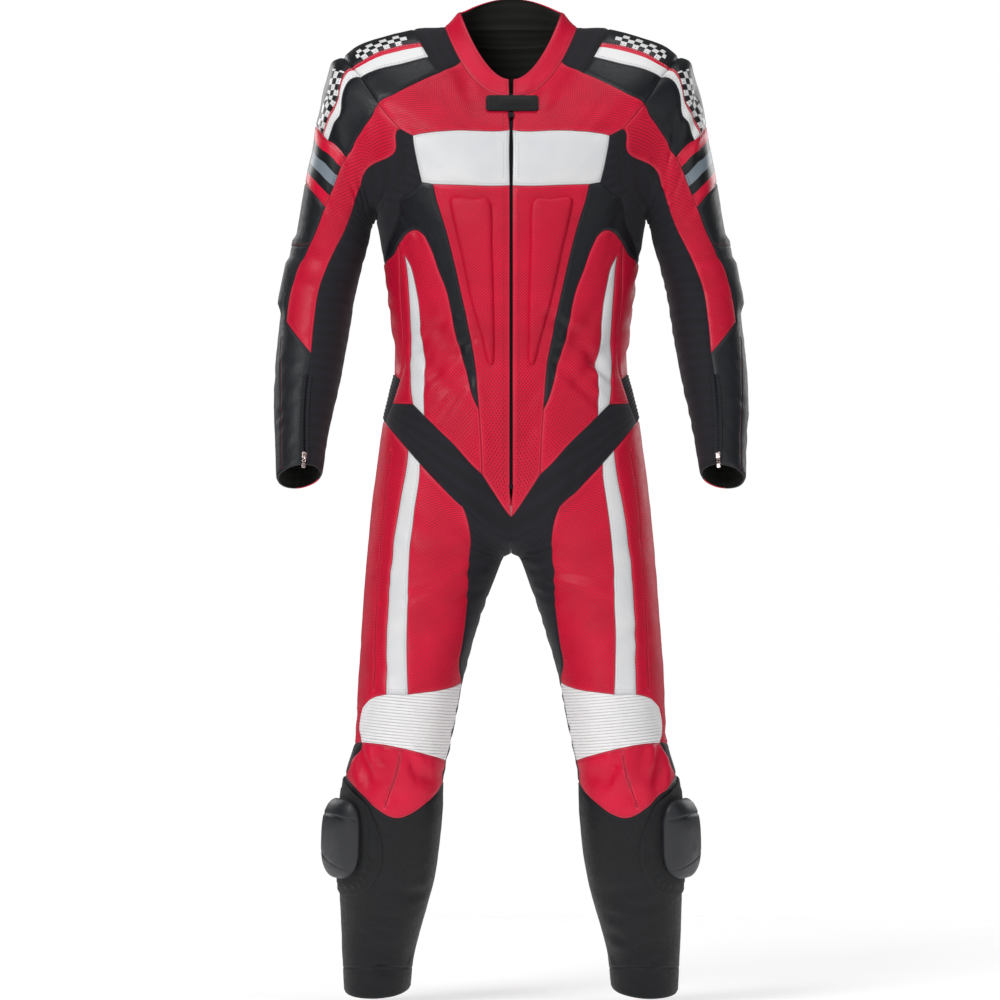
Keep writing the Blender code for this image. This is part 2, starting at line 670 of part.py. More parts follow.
def make_ribbed(piece, direction_at):
    spots = piece["grid"].copy()
    outs = piece["grid_outs"].copy()
    rows, columns = spots.shape[:2]
    for j in range(rows):
        for k in range(columns):
            if on_edge(spots.shape, j, k):
                outs[j, k] = direction_at(piece["grid"][j, k])
    spots += outs * fold_depth(piece["limb"], spots.reshape(-1, 3)).reshape(rows, columns, 1)
    inset = np.zeros_like(spots)
    for j in range(rows):
        for k in range(columns):
            ways = []
            if j in (0, rows - 1):
                ways.append(spots[1 if j == 0 else rows - 2, k] - spots[j, k])
            if k in (0, columns - 1):
                ways.append(spots[j, 1 if k == 0 else columns - 2] - spots[j, k])
            for way in ways:
                inset[j, k] += way / np.linalg.norm(way) * SEAM_GAP * 0.6
    spots += inset
    spots = with_narrow_ends(spots)
    outs = with_narrow_ends(outs)
    columns += 2
    steps = 2 * piece["ribs_each"]
    fine = np.linspace(0, rows - 1, (rows - 1) * steps + 1)
    lower = np.minimum(fine.astype(int), rows - 2)
    part = (fine - lower)[:, None, None]
    surface = spots[lower] * (1 - part) + spots[lower + 1] * part
    way = outs[lower] * (1 - part) + outs[lower + 1] * part
    way /= np.linalg.norm(way, axis=2, keepdims=True)
    rise = np.where(np.arange(len(fine)) % 2 == 1, RIB_RISE, 0.0)[:, None, None] * np.ones((1, columns, 1))
    rise[:, [0, -1]] = 0
    outer = surface + way * rise
    inner = spots - outs * WALL
    lines = len(fine)
    half = lines * columns

    def top_at(j, k):
        return j * columns + k

    def under_at(j, k):
        return half + j * columns + k

    faces = []
    for j in range(lines - 1):
        for k in range(columns - 1):
            faces.append((top_at(j, k), top_at(j + 1, k), top_at(j + 1, k + 1), top_at(j, k + 1)))
    for j in range(rows - 1):
        for k in range(columns - 1):
            faces.append((under_at(j, k), under_at(j, k + 1), under_at(j + 1, k + 1), under_at(j + 1, k)))
    for k in range(columns - 1):
        faces.append((top_at(0, k), top_at(0, k + 1), under_at(0, k + 1), under_at(0, k)))
        faces.append((top_at(lines - 1, k + 1), top_at(lines - 1, k), under_at(rows - 1, k), under_at(rows - 1, k + 1)))
    for j in range(rows - 1):
        for k, turned_over in ((0, False), (columns - 1, True)):
            edge = [top_at(i, k) for i in range(j * steps, (j + 1) * steps + 1)]
            middle = len(edge) // 2
            own = [(under_at(j, k), edge[i + 1], edge[i]) for i in range(middle)]
            own.append((under_at(j, k), under_at(j + 1, k), edge[middle]))
            own += [(under_at(j + 1, k), edge[i + 1], edge[i]) for i in range(middle, len(edge) - 1)]
            faces += [face[::-1] for face in own] if turned_over else own
    if piece["side"] < 0:
        faces = [face[::-1] for face in faces]
    points = np.concatenate([outer.reshape(-1, 3), inner.reshape(-1, 3)])
    add_object(piece["name"], points, faces, piece["finish"])


for old in list(bpy.data.objects):
    bpy.data.objects.remove(old, do_unlink=True)

chart("torso")
ARMHOLE_TURNS = [row[0] for row in ARMHOLE] + [ARMHOLE[0][0] + 360]
ARMHOLE_PLACES = np.array([place("torso", x, z, face) for _, x, z, face in (*ARMHOLE, ARMHOLE[0])])
ARMHOLE_PLACES[:, 1] = np.abs(ARMHOLE_PLACES[:, 1])
chart("sleeve")
chart("leg")

# Nodes and seams of the torso's half, centre front to centre back
def on_row(row, turn):
    return np.array([float(row), float(turn)])


def arm(name, turn):
    """A node of the armhole, on the torso and on the sleeve."""
    node(name, "torso", armhole_place(float(turn)))
    node(name, "sleeve", on_row(0, turn))


def belt_turn(x):
    half, square = TORSO[-1][0], TORSO[-1][6]
    return math.degrees(math.asin((x / half) ** (square / 2)))


def belt(name, turn):
    """A node of the belt line, on the torso and on the leg."""
    node(name, "torso", on_row(BELT_ROW, turn))
    node(name, "leg", on_row(0, leg_turn_of_torso(turn)))


def armhole_seam(name, start, end):
    """A stretch of the armhole, shared by a torso panel and a sleeve panel."""
    fine = np.linspace(start, end, 200)
    length = np.concatenate([[0], np.cumsum(np.linalg.norm(np.diff(armhole_ring(fine), axis=0), axis=1))])
    count = max(2, math.ceil(length[-1] / ARMHOLE_STEP))
    turns = np.interp(np.linspace(0, length[-1], count + 1), length, fine)
    SEAMS["torso", name] = armhole_place(turns)
    SEAMS["sleeve", name] = np.stack([0 * turns, turns], 1)


def belt_seam(name, start, end):
    """A stretch of the belt line, shared by a torso panel and a leg panel."""
    count = max(1, math.ceil(abs(end - start) / 10))
    turns = np.linspace(start, end, count + 1)
    SEAMS["torso", name] = np.stack([0 * turns + BELT_ROW, turns], 1)
    SEAMS["leg", name] = np.stack([0 * turns, leg_turn_of_torso(turns)], 1)


EDGE = ZIP_HALF_GAP
NECK_TURN = math.degrees(math.asin(73.5 / TORSO[NECK_ROW][0]))
for label, turn in (("A0", 8), ("A1", 30), ("A2", 55), ("A3", 70), ("A4", 110), ("A5", 205), ("A5_inside", -155)):
    arm(label, turn)
TURN_R1 = belt_turn(71)
TURN_T1 = belt_turn(134)
TURN_T2 = belt_turn(151)
TURN_H2 = 80.0
TURN_R2 = 150.0
for label, turn in (("B0", 0), ("R1", TURN_R1), ("T1", TURN_T1), ("T2", TURN_T2), ("H2", TURN_H2),
                    ("R2", TURN_R2), ("B9", 180)):
    belt(label, turn)

node("neck_front", "torso", on_row(NECK_ROW, 1.6))
node("neck_yoke", "torso", on_row(NECK_ROW, NECK_TURN))
node("neck_back", "torso", on_row(NECK_ROW, 180))
node("G1", "torso", place("torso", 104, -22))
node("S1", "torso", place("torso", 121, 2))
node("S2", "torso", place("torso", 133, 24))
node("K2", "torso", place("torso", 142, 26, BACK))
node("gusset_back", "torso", on_row(2.0, 180))
node("band_front", "torso", place("torso", EDGE, -108))
node("band_end", "torso", place("torso", 143, -117))
node("band_low_front", "torso", place("torso", EDGE, -190))
node("band_low_end", "torso", place("torso", 130, -185))
node("C1", "torso", place("torso", 114, -188))
node("W", "torso", place("torso", 47, -516))
node("V1", "torso", place("torso", 42, -610))
node("tip", "torso", on_row(place("torso", 0.2, -672)[0], 0))
node("wedge_top", "torso", place("torso", 125, -264))
node("E0", "torso", place("torso", 163, -272))
node("E1", "torso", level("torso", 84, -300))
node("E2", "torso", level("torso", 112, -292))
node("rib_top", "torso", place("torso", 163, -470))
node("H1", "torso", NODES["torso", "rib_top"] * 2 / 3 + NODES["torso", "H2"] / 3)
node("Q1", "torso", place("torso", 144, -507))
node("Q2", "torso", place("torso", 127, -524))
node("stripe_tip", "torso", place("torso", 155, -291))
node("rib_top_back", "torso", level("torso", 180, -458))
node("rib_low_back", "torso", level("torso", 180, -530))

seam("neck_a", "torso", "neck_front", [], "neck_yoke")
seam("neck_b", "torso", "neck_yoke", [on_row(NECK_ROW, 90), on_row(NECK_ROW, 135)], "neck_back")
seam("yoke_a", "torso", "neck_yoke", [], "G1")
seam("yoke_b", "torso", "G1", [(138, -38), (170, -55)], "A1")
seam("gusset_a", "torso", "G1", [], "S1")
seam("gusset_b", "torso", "S1", [], "S2")
seam("gusset_c", "torso", "S2", [level("torso", 90, 46)], "K2")
seam("gusset_d", "torso", "K2", [on_row(2.0, 120), on_row(2.0, 150)], "gusset_back")
seam("stripe_low", "torso", "S1", [(155, -7), (185, -14)], "A2")
seam("stripe_high", "torso", "S2", [(160, 20), (188, 12), (215, -2)], "A3")
seam("check_back", "torso", "K2", [place("torso", 190, 2, BACK)], "A4")
armhole_seam("arm_front", 8, 30)
armhole_seam("arm_leather", 30, 55)
armhole_seam("arm_stripe", 55, 70)
armhole_seam("arm_check", 70, 110)
armhole_seam("arm_back", 110, 205)
armhole_seam("arm_under", -155, 8)
seam("zip_yoke", "torso", "neck_front", [], "band_front")
seam("zip_band", "torso", "band_front", [], "band_low_front")
seam("zip_low", "torso", "band_low_front",
     [(EDGE, -300), (EDGE, -400), (EDGE, -500), (EDGE, -600), (EDGE, -636), (0.4, -650)], "tip", smooth=False)
seam("band_top", "torso", "band_front", [(70, -109)], "band_end")
seam("yoke_corner", "torso", "band_end", [], "A0")
seam("band_side", "torso", "band_end", [], "band_low_end")
seam("band_low_a", "torso", "band_low_front", [(60, -190)], "C1")
seam("band_low_b", "torso", "C1", [], "band_low_end")
seam("centre_a", "torso", "C1", [(106, -220), (91, -270), (78, -325), (67, -374), (56, -429)], "W")
seam("centre_b", "torso", "W", [(44, -560)], "V1")
seam("wedge", "torso", "W", [(58, -490), (69, -447), (81, -407), (90, -360), (96, -338), (106, -313), (115, -286)],
     "wedge_top")
seam("crown", "torso", "wedge_top", [(135, -255), (148, -256)], "E0")
seam("side_low", "torso", "E0", [(174, -290)], "E1")
seam("under_front", "torso", "band_low_end", [(146, -200), (163, -213), (170, -250)], "E1")
seam("under_low", "torso", "E1", [], "E2")
seam("under_back", "torso", "E2", [level("torso", 125, -248), level("torso", 134, -204)], "A5_inside")
seam("side_seam", "torso", "E0", [(162, -340), (158, -400)], "rib_top")
seam("rib_end_a", "torso", "rib_top", [], "H1", count=1)
seam("belt_end", "torso", "H1", [], "H2", count=2)
seam("belt_high_a", "torso", "H1", [], "Q1")
seam("belt_high_b", "torso", "Q1", [], "Q2")
seam("belt_high_c", "torso", "Q2", [(110, -541), (84, -566), (61, -592)], "V1")
seam("belt_high_d", "torso", "V1", [(21, -643)], "tip")
seam("stripe_out", "torso", "stripe_tip", [(152, -320), (149, -365), (147, -405), (148, -450)], "Q1")
seam("stripe_in", "torso", "stripe_tip", [(145, -312), (138, -350), (133, -388), (130, -429)], "Q2")
seam("rib_high", "torso", "rib_top", [level("torso", 90, -463), level("torso", 135, -458)], "rib_top_back", count=9)
seam("rib_low", "torso", "H2", [level("torso", 110, -528), level("torso", 145, -528)], "rib_low_back", count=9)
seam("belt_middle", "torso", "tip", [], "B0")
belt_seam("line_a", 0, TURN_R1)
belt_seam("line_b", TURN_R1, TURN_T1)
belt_seam("line_c", TURN_T1, TURN_T2)
belt_seam("line_d", TURN_T2, TURN_H2)
belt_seam("line_e", TURN_H2, TURN_R2)
belt_seam("line_f", TURN_R2, 180)


def mirrored(places):
    """Places on the torso's other half."""
    return np.stack([places[:, 0], 360 - places[:, 1]], 1)


def whole_back(limb, *names):
    """A loop over the centre back: the half's seams one way, then their mirror images back again."""
    half = [SEAMS[limb, name.lstrip("-")][::-1 if name.startswith("-") else 1] for name in names]
    there = np.concatenate([part[:-1] for part in half] + [half[-1][-1:]])
    return there, mirrored(there)[::-1]


# Torso panels
def collar():
    turns = np.linspace(2.5, 357.5, 29)
    rim = np.stack([0 * turns + RIM_ROW, turns], 1)
    foot = SEAMS["torso", "neck_a"]
    foot = np.concatenate([foot, SEAMS["torso", "neck_b"][1:]])
    foot = np.concatenate([foot, mirrored(foot)[::-1][1:]])
    panel("collar", RED, [sheet("torso", np.concatenate([rim, foot[::-1]]))], 1)


collar()
there, back_again = whole_back("torso", "neck_b")
low, low_again = whole_back("torso", "yoke_a", "gusset_a", "gusset_b", "gusset_c", "gusset_d")
gusset_loop = np.concatenate([there[:-1], back_again[:-1], low_again[::-1][:-1], low[::-1][:-1]])
panel("neck_gusset", STRETCH, [sheet("torso", gusset_loop)], 1)
both_sides("yoke_front", RED, [sheet("torso", loop(
    "torso", "neck_a", "yoke_a", "yoke_b", "-arm_front", "-yoke_corner", "-band_top", "-zip_yoke"))])
both_sides("shoulder_leather", BLACK, [sheet("torso", loop(
    "torso", "gusset_a", "stripe_low", "-arm_leather", "-yoke_b"))])


def centre_lift(limb, places, spots):
    """The long foam pad, raised inside its embossed border."""
    flat = np.stack([np.abs(spots[:, 0]), spots[:, 2]], 1)
    away, inside = edge_distance(flat, PAD_OUTLINE)
    return np.where(inside, PAD_RISE * np.clip(away / PAD_SLOPE, 0, 1), 0)


def inner_outline(outline, by):
    """A flat outline moved in by this much."""
    ahead = np.roll(outline, -1, axis=0) - outline
    ahead /= np.linalg.norm(ahead, axis=1, keepdims=True)
    normal = np.stack([-ahead[:, 1], ahead[:, 0]], 1)
    corner = normal + np.roll(normal, 1, axis=0)
    corner /= (1 + (normal * np.roll(normal, 1, axis=0)).sum(1))[:, None]
    moved = outline + corner * by
    inside = edge_distance(moved[:1], outline)[1][0]
    return moved if inside else outline - corner * by


PAD_OUTLINE = np.array([(30, -214), (58, -209), (88, -208), (86, -235), (75, -282), (66, -325), (57, -365),
                        (48, -408), (43, -446), (21, -446), (22, -410), (25, -350), (27, -280)], float)


def on_torso(outline):
    return np.array([place("torso", x, z) for x, z in outline])


pad_foot = on_torso(PAD_OUTLINE)
pad_top = on_torso(inner_outline(PAD_OUTLINE, PAD_SLOPE))
both_sides("chest_band", WHITE, [sheet("torso", loop(
    "torso", "band_top", "band_side", "-band_low_b", "-band_low_a", "-zip_band"))])
both_sides("centre_front", RED, [sheet("torso", loop(
    "torso", "band_low_a", "centre_a", "centre_b", "belt_high_d", "-zip_low"), ridges=[pad_foot, pad_top])],
    lift=centre_lift)
both_sides("chest_side", BLACK, [sheet("torso", loop(
    "torso", "band_low_b", "under_front", "-side_low", "-crown", "-wedge", "-centre_a"))])
both_sides("side_front", RED, [sheet("torso", loop(
    "torso", "-crown", "-wedge", "centre_b", "-belt_high_c", "-stripe_in", "stripe_out", "-belt_high_a",
    "-rib_end_a", "-side_seam"))])
both_sides("side_stripe", WHITE, [sheet("torso", loop("torso", "stripe_out", "belt_high_b", "-stripe_in"))])


there, back_again = whole_back("torso", "-side_seam", "side_low", "under_low", "under_back", "-arm_back",
                               "-check_back", "gusset_d")
over, over_again = whole_back("torso", "rib_high")
back_loop = np.concatenate([there[:-1], back_again[:-1], over_again[::-1][:-1], over[::-1][:-1]])
panel("back_panel", RED, [sheet("torso", back_loop)], 1)

top = np.concatenate([over[:-1], over_again])
over, over_again = whole_back("torso", "rib_low")
bottom = np.concatenate([over[:-1], over_again])
near = np.concatenate([SEAMS["torso", "rib_end_a"], SEAMS["torso", "belt_end"][1:]])
ribbed_panel("waist_rib", STRETCH, "torso", top, bottom, near, mirrored(near), 4, 1)

low, low_again = whole_back("torso", "line_e", "line_f")
seat_loop = np.concatenate([bottom[:-1], low_again[::-1][:-1], low[::-1][:-1]])
panel("seat", BLACK, [sheet("torso", seat_loop)], 1)

# Nodes and seams of a sleeve
FULL_TURN = 360.0
for label, spot in (
    ("P1", place("sleeve", 241, -147)), ("P2", place("sleeve", 272, -219)), ("D1", place("sleeve", 330, -385)),
    ("D2", place("sleeve", 292, -432)), ("M2", place("sleeve", 269, -121)), ("M3", place("sleeve", 278, -112)),
    ("M4", level("sleeve", 115, -90)), ("N1", level("sleeve", 150, -125)), ("N2", level("sleeve", 150, -196)),
    ("cuff_zip", on_row(CUFF_ROW, -24)), ("cuff_rear", on_row(CUFF_ROW, 165)),
    ("cuff_inner", on_row(CUFF_ROW, 238)), ("cuff_inner_below", on_row(CUFF_ROW, -122)),
):
    node(label, "sleeve", spot)
seam("check_rear", "sleeve", "A4", [level("sleeve", 114, -45)], "M4")
seam("white_out", "sleeve", "A3", [(253, -50), (268, -84)], "M3")
seam("white_in", "sleeve", "A2", [(249, -73), (260, -97)], "M2")
seam("red_out_a", "sleeve", "A1", [(219, -110)], "P1")
seam("band_high_a", "sleeve", "P1", [], "M2")
seam("band_high_b", "sleeve", "M2", [], "M3")
seam("band_high_c", "sleeve", "M3", [level("sleeve", 95, -96)], "M4")
seam("band_high_d", "sleeve", "M4", [level("sleeve", 132, -102)], "N1")
seam("band_rear", "sleeve", "N1", [], "N2")
seam("band_low", "sleeve", "P2", [(287, -201), level("sleeve", 80, -182), level("sleeve", 115, -180)], "N2")
seam("band_front", "sleeve", "P1", [(258, -185)], "P2")
seam("red_out_b", "sleeve", "P2", [(292, -267), (312, -302), (325, -345)], "D1")
seam("diagonal", "sleeve", "D1", [], "D2")
seam("red_in", "sleeve", "A0", [(201, -157), (233, -228), (264, -294), (281, -338), (288, -385)], "D2")
seam("zip_line", "sleeve", "D2", [(297, -468), (301, -530), (300, -588)], "cuff_zip")
seam("outer_rear", "sleeve", "N2", [level("sleeve", 152, -300), level("sleeve", 158, -450)], "cuff_rear")
seam("inner_rear", "sleeve", "A5", [level("sleeve", 224, -250), level("sleeve", 238, -350),
                                    level("sleeve", 238, -500)], "cuff_inner")
seam("cuff_a", "sleeve", "cuff_zip", [on_row(CUFF_ROW, 70)], "cuff_rear", count=11)
seam("cuff_b", "sleeve", "cuff_rear", [], "cuff_inner", count=4)
seam("cuff_c", "sleeve", "cuff_inner_below", [], "cuff_zip", count=6)
turned("sleeve", "inner_rear", -FULL_TURN, "inner_rear_below")


def elbow_lift(limb, places, spots):
    """The elbow protector's two steps under the outer leather."""
    height = spots[:, 2]
    behind = np.clip((places[:, 1] - 55) / 25, 0, 1) * np.clip((165 - places[:, 1]) / 20, 0, 1)
    first = np.clip((-258 - height) / 6, 0, 1) * np.clip((height + 372) / 14, 0, 1)
    second = np.clip((-292 - height) / 6, 0, 1) * np.clip((height + 372) / 14, 0, 1)
    return (4.0 * first + 3.0 * second) * behind


both_sides("shoulder_stripe", WHITE, [
    sheet("torso", loop("torso", "stripe_low", "arm_stripe", "-stripe_high", "-gusset_b")),
    sheet("sleeve", loop("sleeve", "arm_stripe", "white_out", "-band_high_b", "-white_in"))])
both_sides("shoulder_check", WHITE, [
    sheet("torso", loop("torso", "stripe_high", "arm_check", "-check_back", "-gusset_c")),
    sheet("sleeve", loop("sleeve", "arm_check", "check_rear", "-band_high_c", "-white_out"))])
both_sides("underarm_stretch", STRETCH, [
    sheet("torso", loop("torso", "band_side", "under_front", "under_low", "under_back", "arm_under",
                        "-yoke_corner")),
    sheet("sleeve", loop("sleeve", "arm_under", "red_in", "zip_line", "-cuff_c", "-inner_rear_below"))])
both_sides("sleeve_leather", BLACK, [sheet("sleeve", loop(
    "sleeve", "arm_leather", "white_in", "-band_high_a", "-red_out_a"))])
both_sides("sleeve_band", GREY, [sheet("sleeve", loop(
    "sleeve", "band_high_a", "band_high_b", "band_high_c", "band_high_d", "band_rear", "-band_low",
    "-band_front"))])
both_sides("sleeve_front", RED, [sheet("sleeve", loop(
    "sleeve", "arm_front", "red_out_a", "band_front", "red_out_b", "diagonal", "-red_in"))])
both_sides("sleeve_outer", BLACK, [sheet("sleeve", loop(
    "sleeve", "band_low", "outer_rear", "-cuff_a", "-zip_line", "-diagonal", "-red_out_b"))], lift=elbow_lift)
both_sides("sleeve_back", RED, [sheet("sleeve", loop(
    "sleeve", "arm_back", "inner_rear", "-cuff_b", "-outer_rear", "-band_rear", "-band_high_d",
    "-check_rear"))])

# Nodes and seams of a leg
for label, spot in (
    ("K1", place("leg", 218, -953)), ("K2", level("leg", -84, -915)), ("K3", place("leg", 219, -1000)),
    ("K4", level("leg", -80, -1028)), ("X1", level("leg", 82, -1050)), ("X2", level("leg", -80, -1062)),
    ("T3", place("leg", 150, -930)), ("T4", place("leg", 182, -930)), ("Z2", level("leg", 205, -905)),
    ("Z0", level("leg", -110, -1056)), ("Z0_above", level("leg", 250, -1056)),
    ("hem", on_row(HEM_ROW, -110)), ("hem_above", on_row(HEM_ROW, 250)),
    ("crotch_front", on_row(0, -60)), ("crotch_back", on_row(0, -120)),
):
    node(label, "leg", spot)
seam("thigh_in", "leg", "R1", [(60, -730), (63, -797), (70, -855), (75, -890)], "K2")
seam("stripe_a", "leg", "T1", [(145, -690), (151, -803), (152, -870)], "T3")
seam("stripe_b", "leg", "T2", [(169, -690), (180, -810), (182, -870)], "T4")
seam("knee_high_a", "leg", "K2", [(101, -924)], "T3", count=3)
seam("knee_high_b", "leg", "T3", [], "T4", count=1)
seam("knee_high_c", "leg", "T4", [(204, -937)], "K1", count=2)
seam("knee_in", "leg", "K2", [level("leg", -83, -970)], "K4", count=4)
seam("knee_out", "leg", "K1", [(222, -976)], "K3", count=4)
seam("knee_low", "leg", "K3", [(186, -1002), (155, -1008), (125, -1016)], "K4", count=6)
seam("shin_in", "leg", "K4", [], "X2", count=1)
seam("shin_low", "leg", "X2", [(120, -1086), (145, -1104), (170, -1110), (199, -1094), (221, -1072)], "X1")
seam("shin_out", "leg", "K3", [(230, -1024)], "X1")
seam("thigh_rear", "leg", "R2", [level("leg", 200, -800)], "Z2")
seam("thigh_low", "leg", "Z2", [level("leg", 150, -965), level("leg", 100, -1000)], "K3")
seam("crotch", "leg", "crotch_front", [], "crotch_back", count=7)
seam("calf_high_b", "leg", "Z0", [], "X2", count=2)
seam("calf_high_a", "leg", "X1", [level("leg", 130, -1046), level("leg", 200, -1048)], "Z0_above")
seam("slit", "leg", "Z0", [], "hem")
seam("hem_edge", "leg", "hem", [on_row(HEM_ROW, 0), on_row(HEM_ROW, 100)], "hem_above", count=22)
for name in ("line_f", "thigh_rear", "thigh_low", "shin_out", "calf_high_a"):
    turned("leg", name, -FULL_TURN, name + "_below")
turned("leg", "slit", FULL_TURN, "slit_above")

both_sides("hip_stretch", STRETCH, [
    sheet("torso", loop("torso", "belt_high_a", "belt_high_b", "belt_high_c", "belt_high_d", "belt_middle",
                        "line_a", "line_b", "line_c", "line_d", "-belt_end")),
    sheet("leg", loop("leg", "-line_a", "crotch", "-line_f_below", "thigh_rear_below", "thigh_low_below",
                      "shin_out_below", "calf_high_a_below", "calf_high_b", "-shin_in", "-knee_in",
                      "-thigh_in"))])
both_sides("thigh_front", RED, [sheet("leg", loop("leg", "line_b", "stripe_a", "-knee_high_a", "-thigh_in"))])
both_sides("thigh_stripe", WHITE, [sheet("leg", loop("leg", "line_c", "stripe_b", "-knee_high_b", "-stripe_a"))])
both_sides("thigh_side", RED, [sheet("leg", loop(
    "leg", "line_d", "line_e", "thigh_rear", "thigh_low", "-knee_out", "-knee_high_c", "-stripe_b"))])
both_sides("shin", RED, [sheet("leg", loop("leg", "knee_low", "shin_in", "shin_low", "-shin_out"))])
knee_top = np.concatenate([SEAMS["leg", "knee_high_a"][:-1], SEAMS["leg", "knee_high_b"][:-1],
                           SEAMS["leg", "knee_high_c"]])
for ending, side in (("_left", 1), ("_right", -1)):
    ribbed_panel("knee_rib" + ending, RIBBED_WHITE, "leg", knee_top, SEAMS["leg", "knee_low"][::-1],
                 SEAMS["leg", "knee_in"], SEAMS["leg", "knee_out"], 6, side)


# Knee puck and its base on the lower leg
REST = 0.6


def level_lift(height):
    return lambda limb, places, spots: np.full(len(spots), float(height))


BASE_THICK = 2.6
base_front = [(244, -1052), (217, -1083), (200, -1112), (189, -1145), (190, -1182), (206, -1214), (230, -1227)]
base_places = [place("leg", x, z) for x, z in base_front]
base_places += [level("leg", turn, z) for turn, z in ((86, -1222), (112, -1205), (118, -1150), (112, -1095),
                                                       (94, -1058))]
base_line = run("leg", [*base_places, base_places[0]], 21.0)[:-1]

PUCK_TURN = 62.0
PUCK_HEIGHT = -1140.0
PUCK_HALF_TURN = 31.0
PUCK_HALF_HEIGHT = 58.0
PUCK_SQUARE = 2.6
PUCK_EDGE = 6.0
PUCK_DOME = 20.0
PUCK_REST = REST + BASE_THICK + 0.5


def puck_lift(limb, places, spots):
    """A dome over a short upright edge."""
    off = np.abs((places[:, 1] - PUCK_TURN) / PUCK_HALF_TURN) ** PUCK_SQUARE
    off += np.abs((spots[:, 2] - PUCK_HEIGHT) / PUCK_HALF_HEIGHT) ** PUCK_SQUARE
    return PUCK_REST + PUCK_EDGE + PUCK_DOME * np.clip(1 - off, 0, 1) ** 0.6


def puck_ring(part, count):
    angles = np.linspace(0, 360, count, endpoint=False)
    up, round_it = swing(angles, PUCK_SQUARE)
    return np.array([level("leg", PUCK_TURN + PUCK_HALF_TURN * part * a, PUCK_HEIGHT + PUCK_HALF_HEIGHT * part * b)
                     for a, b in zip(round_it, up)])


puck_foot = puck_ring(1, 20)
lower_patch = sheet("leg", loop(
    "leg", "calf_high_b", "shin_low", "calf_high_a", "slit_above", "-hem_edge", "-slit"),
    [base_line, puck_foot, puck_ring(0.78, 16), puck_ring(0.45, 8)])
both_sides("lower_leg", BLACK, [lower_patch])
both_sides("puck_base", PILE, [patch_inside(lower_patch, base_line)], level_lift(REST + BASE_THICK), REST)
both_sides("puck", HARD, [patch_inside(lower_patch, puck_foot)], puck_lift, PUCK_REST)

# Neck tab and the zip's pull
def rounded_box(x, z, half_width, half_height, corner, each=3):
    """Outline of a rounded rectangle, as x and z."""
    outline = []
    for start, sign_x, sign_z in ((0, 1, 1), (90, -1, 1), (180, -1, -1), (270, 1, -1)):
        for k in range(each + 1):
            angle = math.radians(start + 90 * k / each)
            outline.append((x + sign_x * (half_width - corner) + corner * math.cos(angle),
                            z + sign_z * (half_height - corner) + corner * math.sin(angle)))
    return np.array(outline)


TAB_THICK = 3.0
TAB_REST = 1.5
tab_line = rounded_box(1.5, -69.5, 38.5, 11.5, 7)
tab_places = on_torso(tab_line)
strip_places = on_torso(rounded_box(9, -69.5, 21, 6, 2, each=1))


def tab_lift(limb, places, spots):
    """The strap, with its raised middle strip."""
    away, inside = edge_distance(spots[:, [0, 2]], rounded_box(9, -69.5, 22, 7, 2, each=1))
    return TAB_REST + TAB_THICK + np.where(inside, 1.5, 0)


panel("neck_tab", PILE, [sheet("torso", tab_places, [strip_places], 9, 9)], 1, tab_lift, TAB_REST)
pull_places = on_torso(rounded_box(0, -87.5, 4, 5, 2))
panel("front_pull", METAL, [sheet("torso", pull_places, (), 6, 6)], 1, level_lift(2.4), REST)

for piece in PANELS:
    if "grid" in piece:
        shape = piece["grid"].shape
        for j in range(shape[0]):
            for k in range(shape[1]):
                if on_edge(shape, j, k):
                    note_rim(piece["grid"][j, k], piece["grid_outs"][j, k])
        continue
    gather(piece)
    piece["rim"] = rim_edges(piece["triangles"])
    if piece["under"] is None:
        for k in piece["rim"]:
            note_rim(piece["spots"][k], piece["outs"][k])
direction_at = shared_directions()
for piece in PANELS:
    if "grid" in piece:
        make_ribbed(piece, direction_at)
    else:
        make(piece, direction_at)


def swept(name, finish, profile, spots, outs, across):
    """A closed body: one profile, as (across, out), carried along these spots."""
    profile = np.array(profile, float)
    rings = [spot + profile[:, :1] * across + profile[:, 1:] * out for spot, out in zip(spots, outs)]
    count = len(profile)
    faces = []
    for j in range(len(rings) - 1):
        for k in range(count):
            after = (k + 1) % count
            faces.append((j * count + after, j * count + k, (j + 1) * count + k, (j + 1) * count + after))
    last = (len(rings) - 1) * count
    faces.append(tuple(range(count)))
    faces.append(tuple(last + k for k in range(count - 1, -1, -1)))
    return add_object(name, np.concatenate(rings), faces, finish)


# Front zip: its tape inside the fronts, with the closed teeth in the gap between them
ZIP_PROFILE = ((-8, -4.7), (-8, -3.4), (-1.4, -3.4), (-1.4, -0.8), (1.4, -0.8), (1.4, -3.4), (8, -3.4), (8, -4.7))
zip_rows = np.concatenate([SEAMS["torso", name][:, 0] for name in ("zip_yoke", "zip_band", "zip_low")])
zip_rows = np.unique(np.round(zip_rows, 4))
zip_spots = torso(zip_rows, 0 * zip_rows)
zip_outs = direction_out("torso", zip_rows, 0 * zip_rows)
zip_spots += zip_outs * fold_depth("torso", zip_spots)[:, None]
zipped = (zip_spots[:, 2] > -630) & (zip_spots[:, 2] < -52)
swept("front_zip", METAL, ZIP_PROFILE, zip_spots[zipped], zip_outs[zipped], np.array([1.0, 0, 0]))

# Cuff zips: a slider on the forearm and its pull tab, which swings about a bar at the slider's foot
SLIDER_HALF = (3.5, 5.5)
SLIDER_LEVELS = (0.6, 2.8)
PULL_HALF_WIDTH = 3.5
PULL_LENGTH = 13.0
PULL_HALF_THICK = 0.8
PULL_AXIS_LEVEL = 2.8
PULL_GAP = 1.1
PULL_HEEL = 0.5


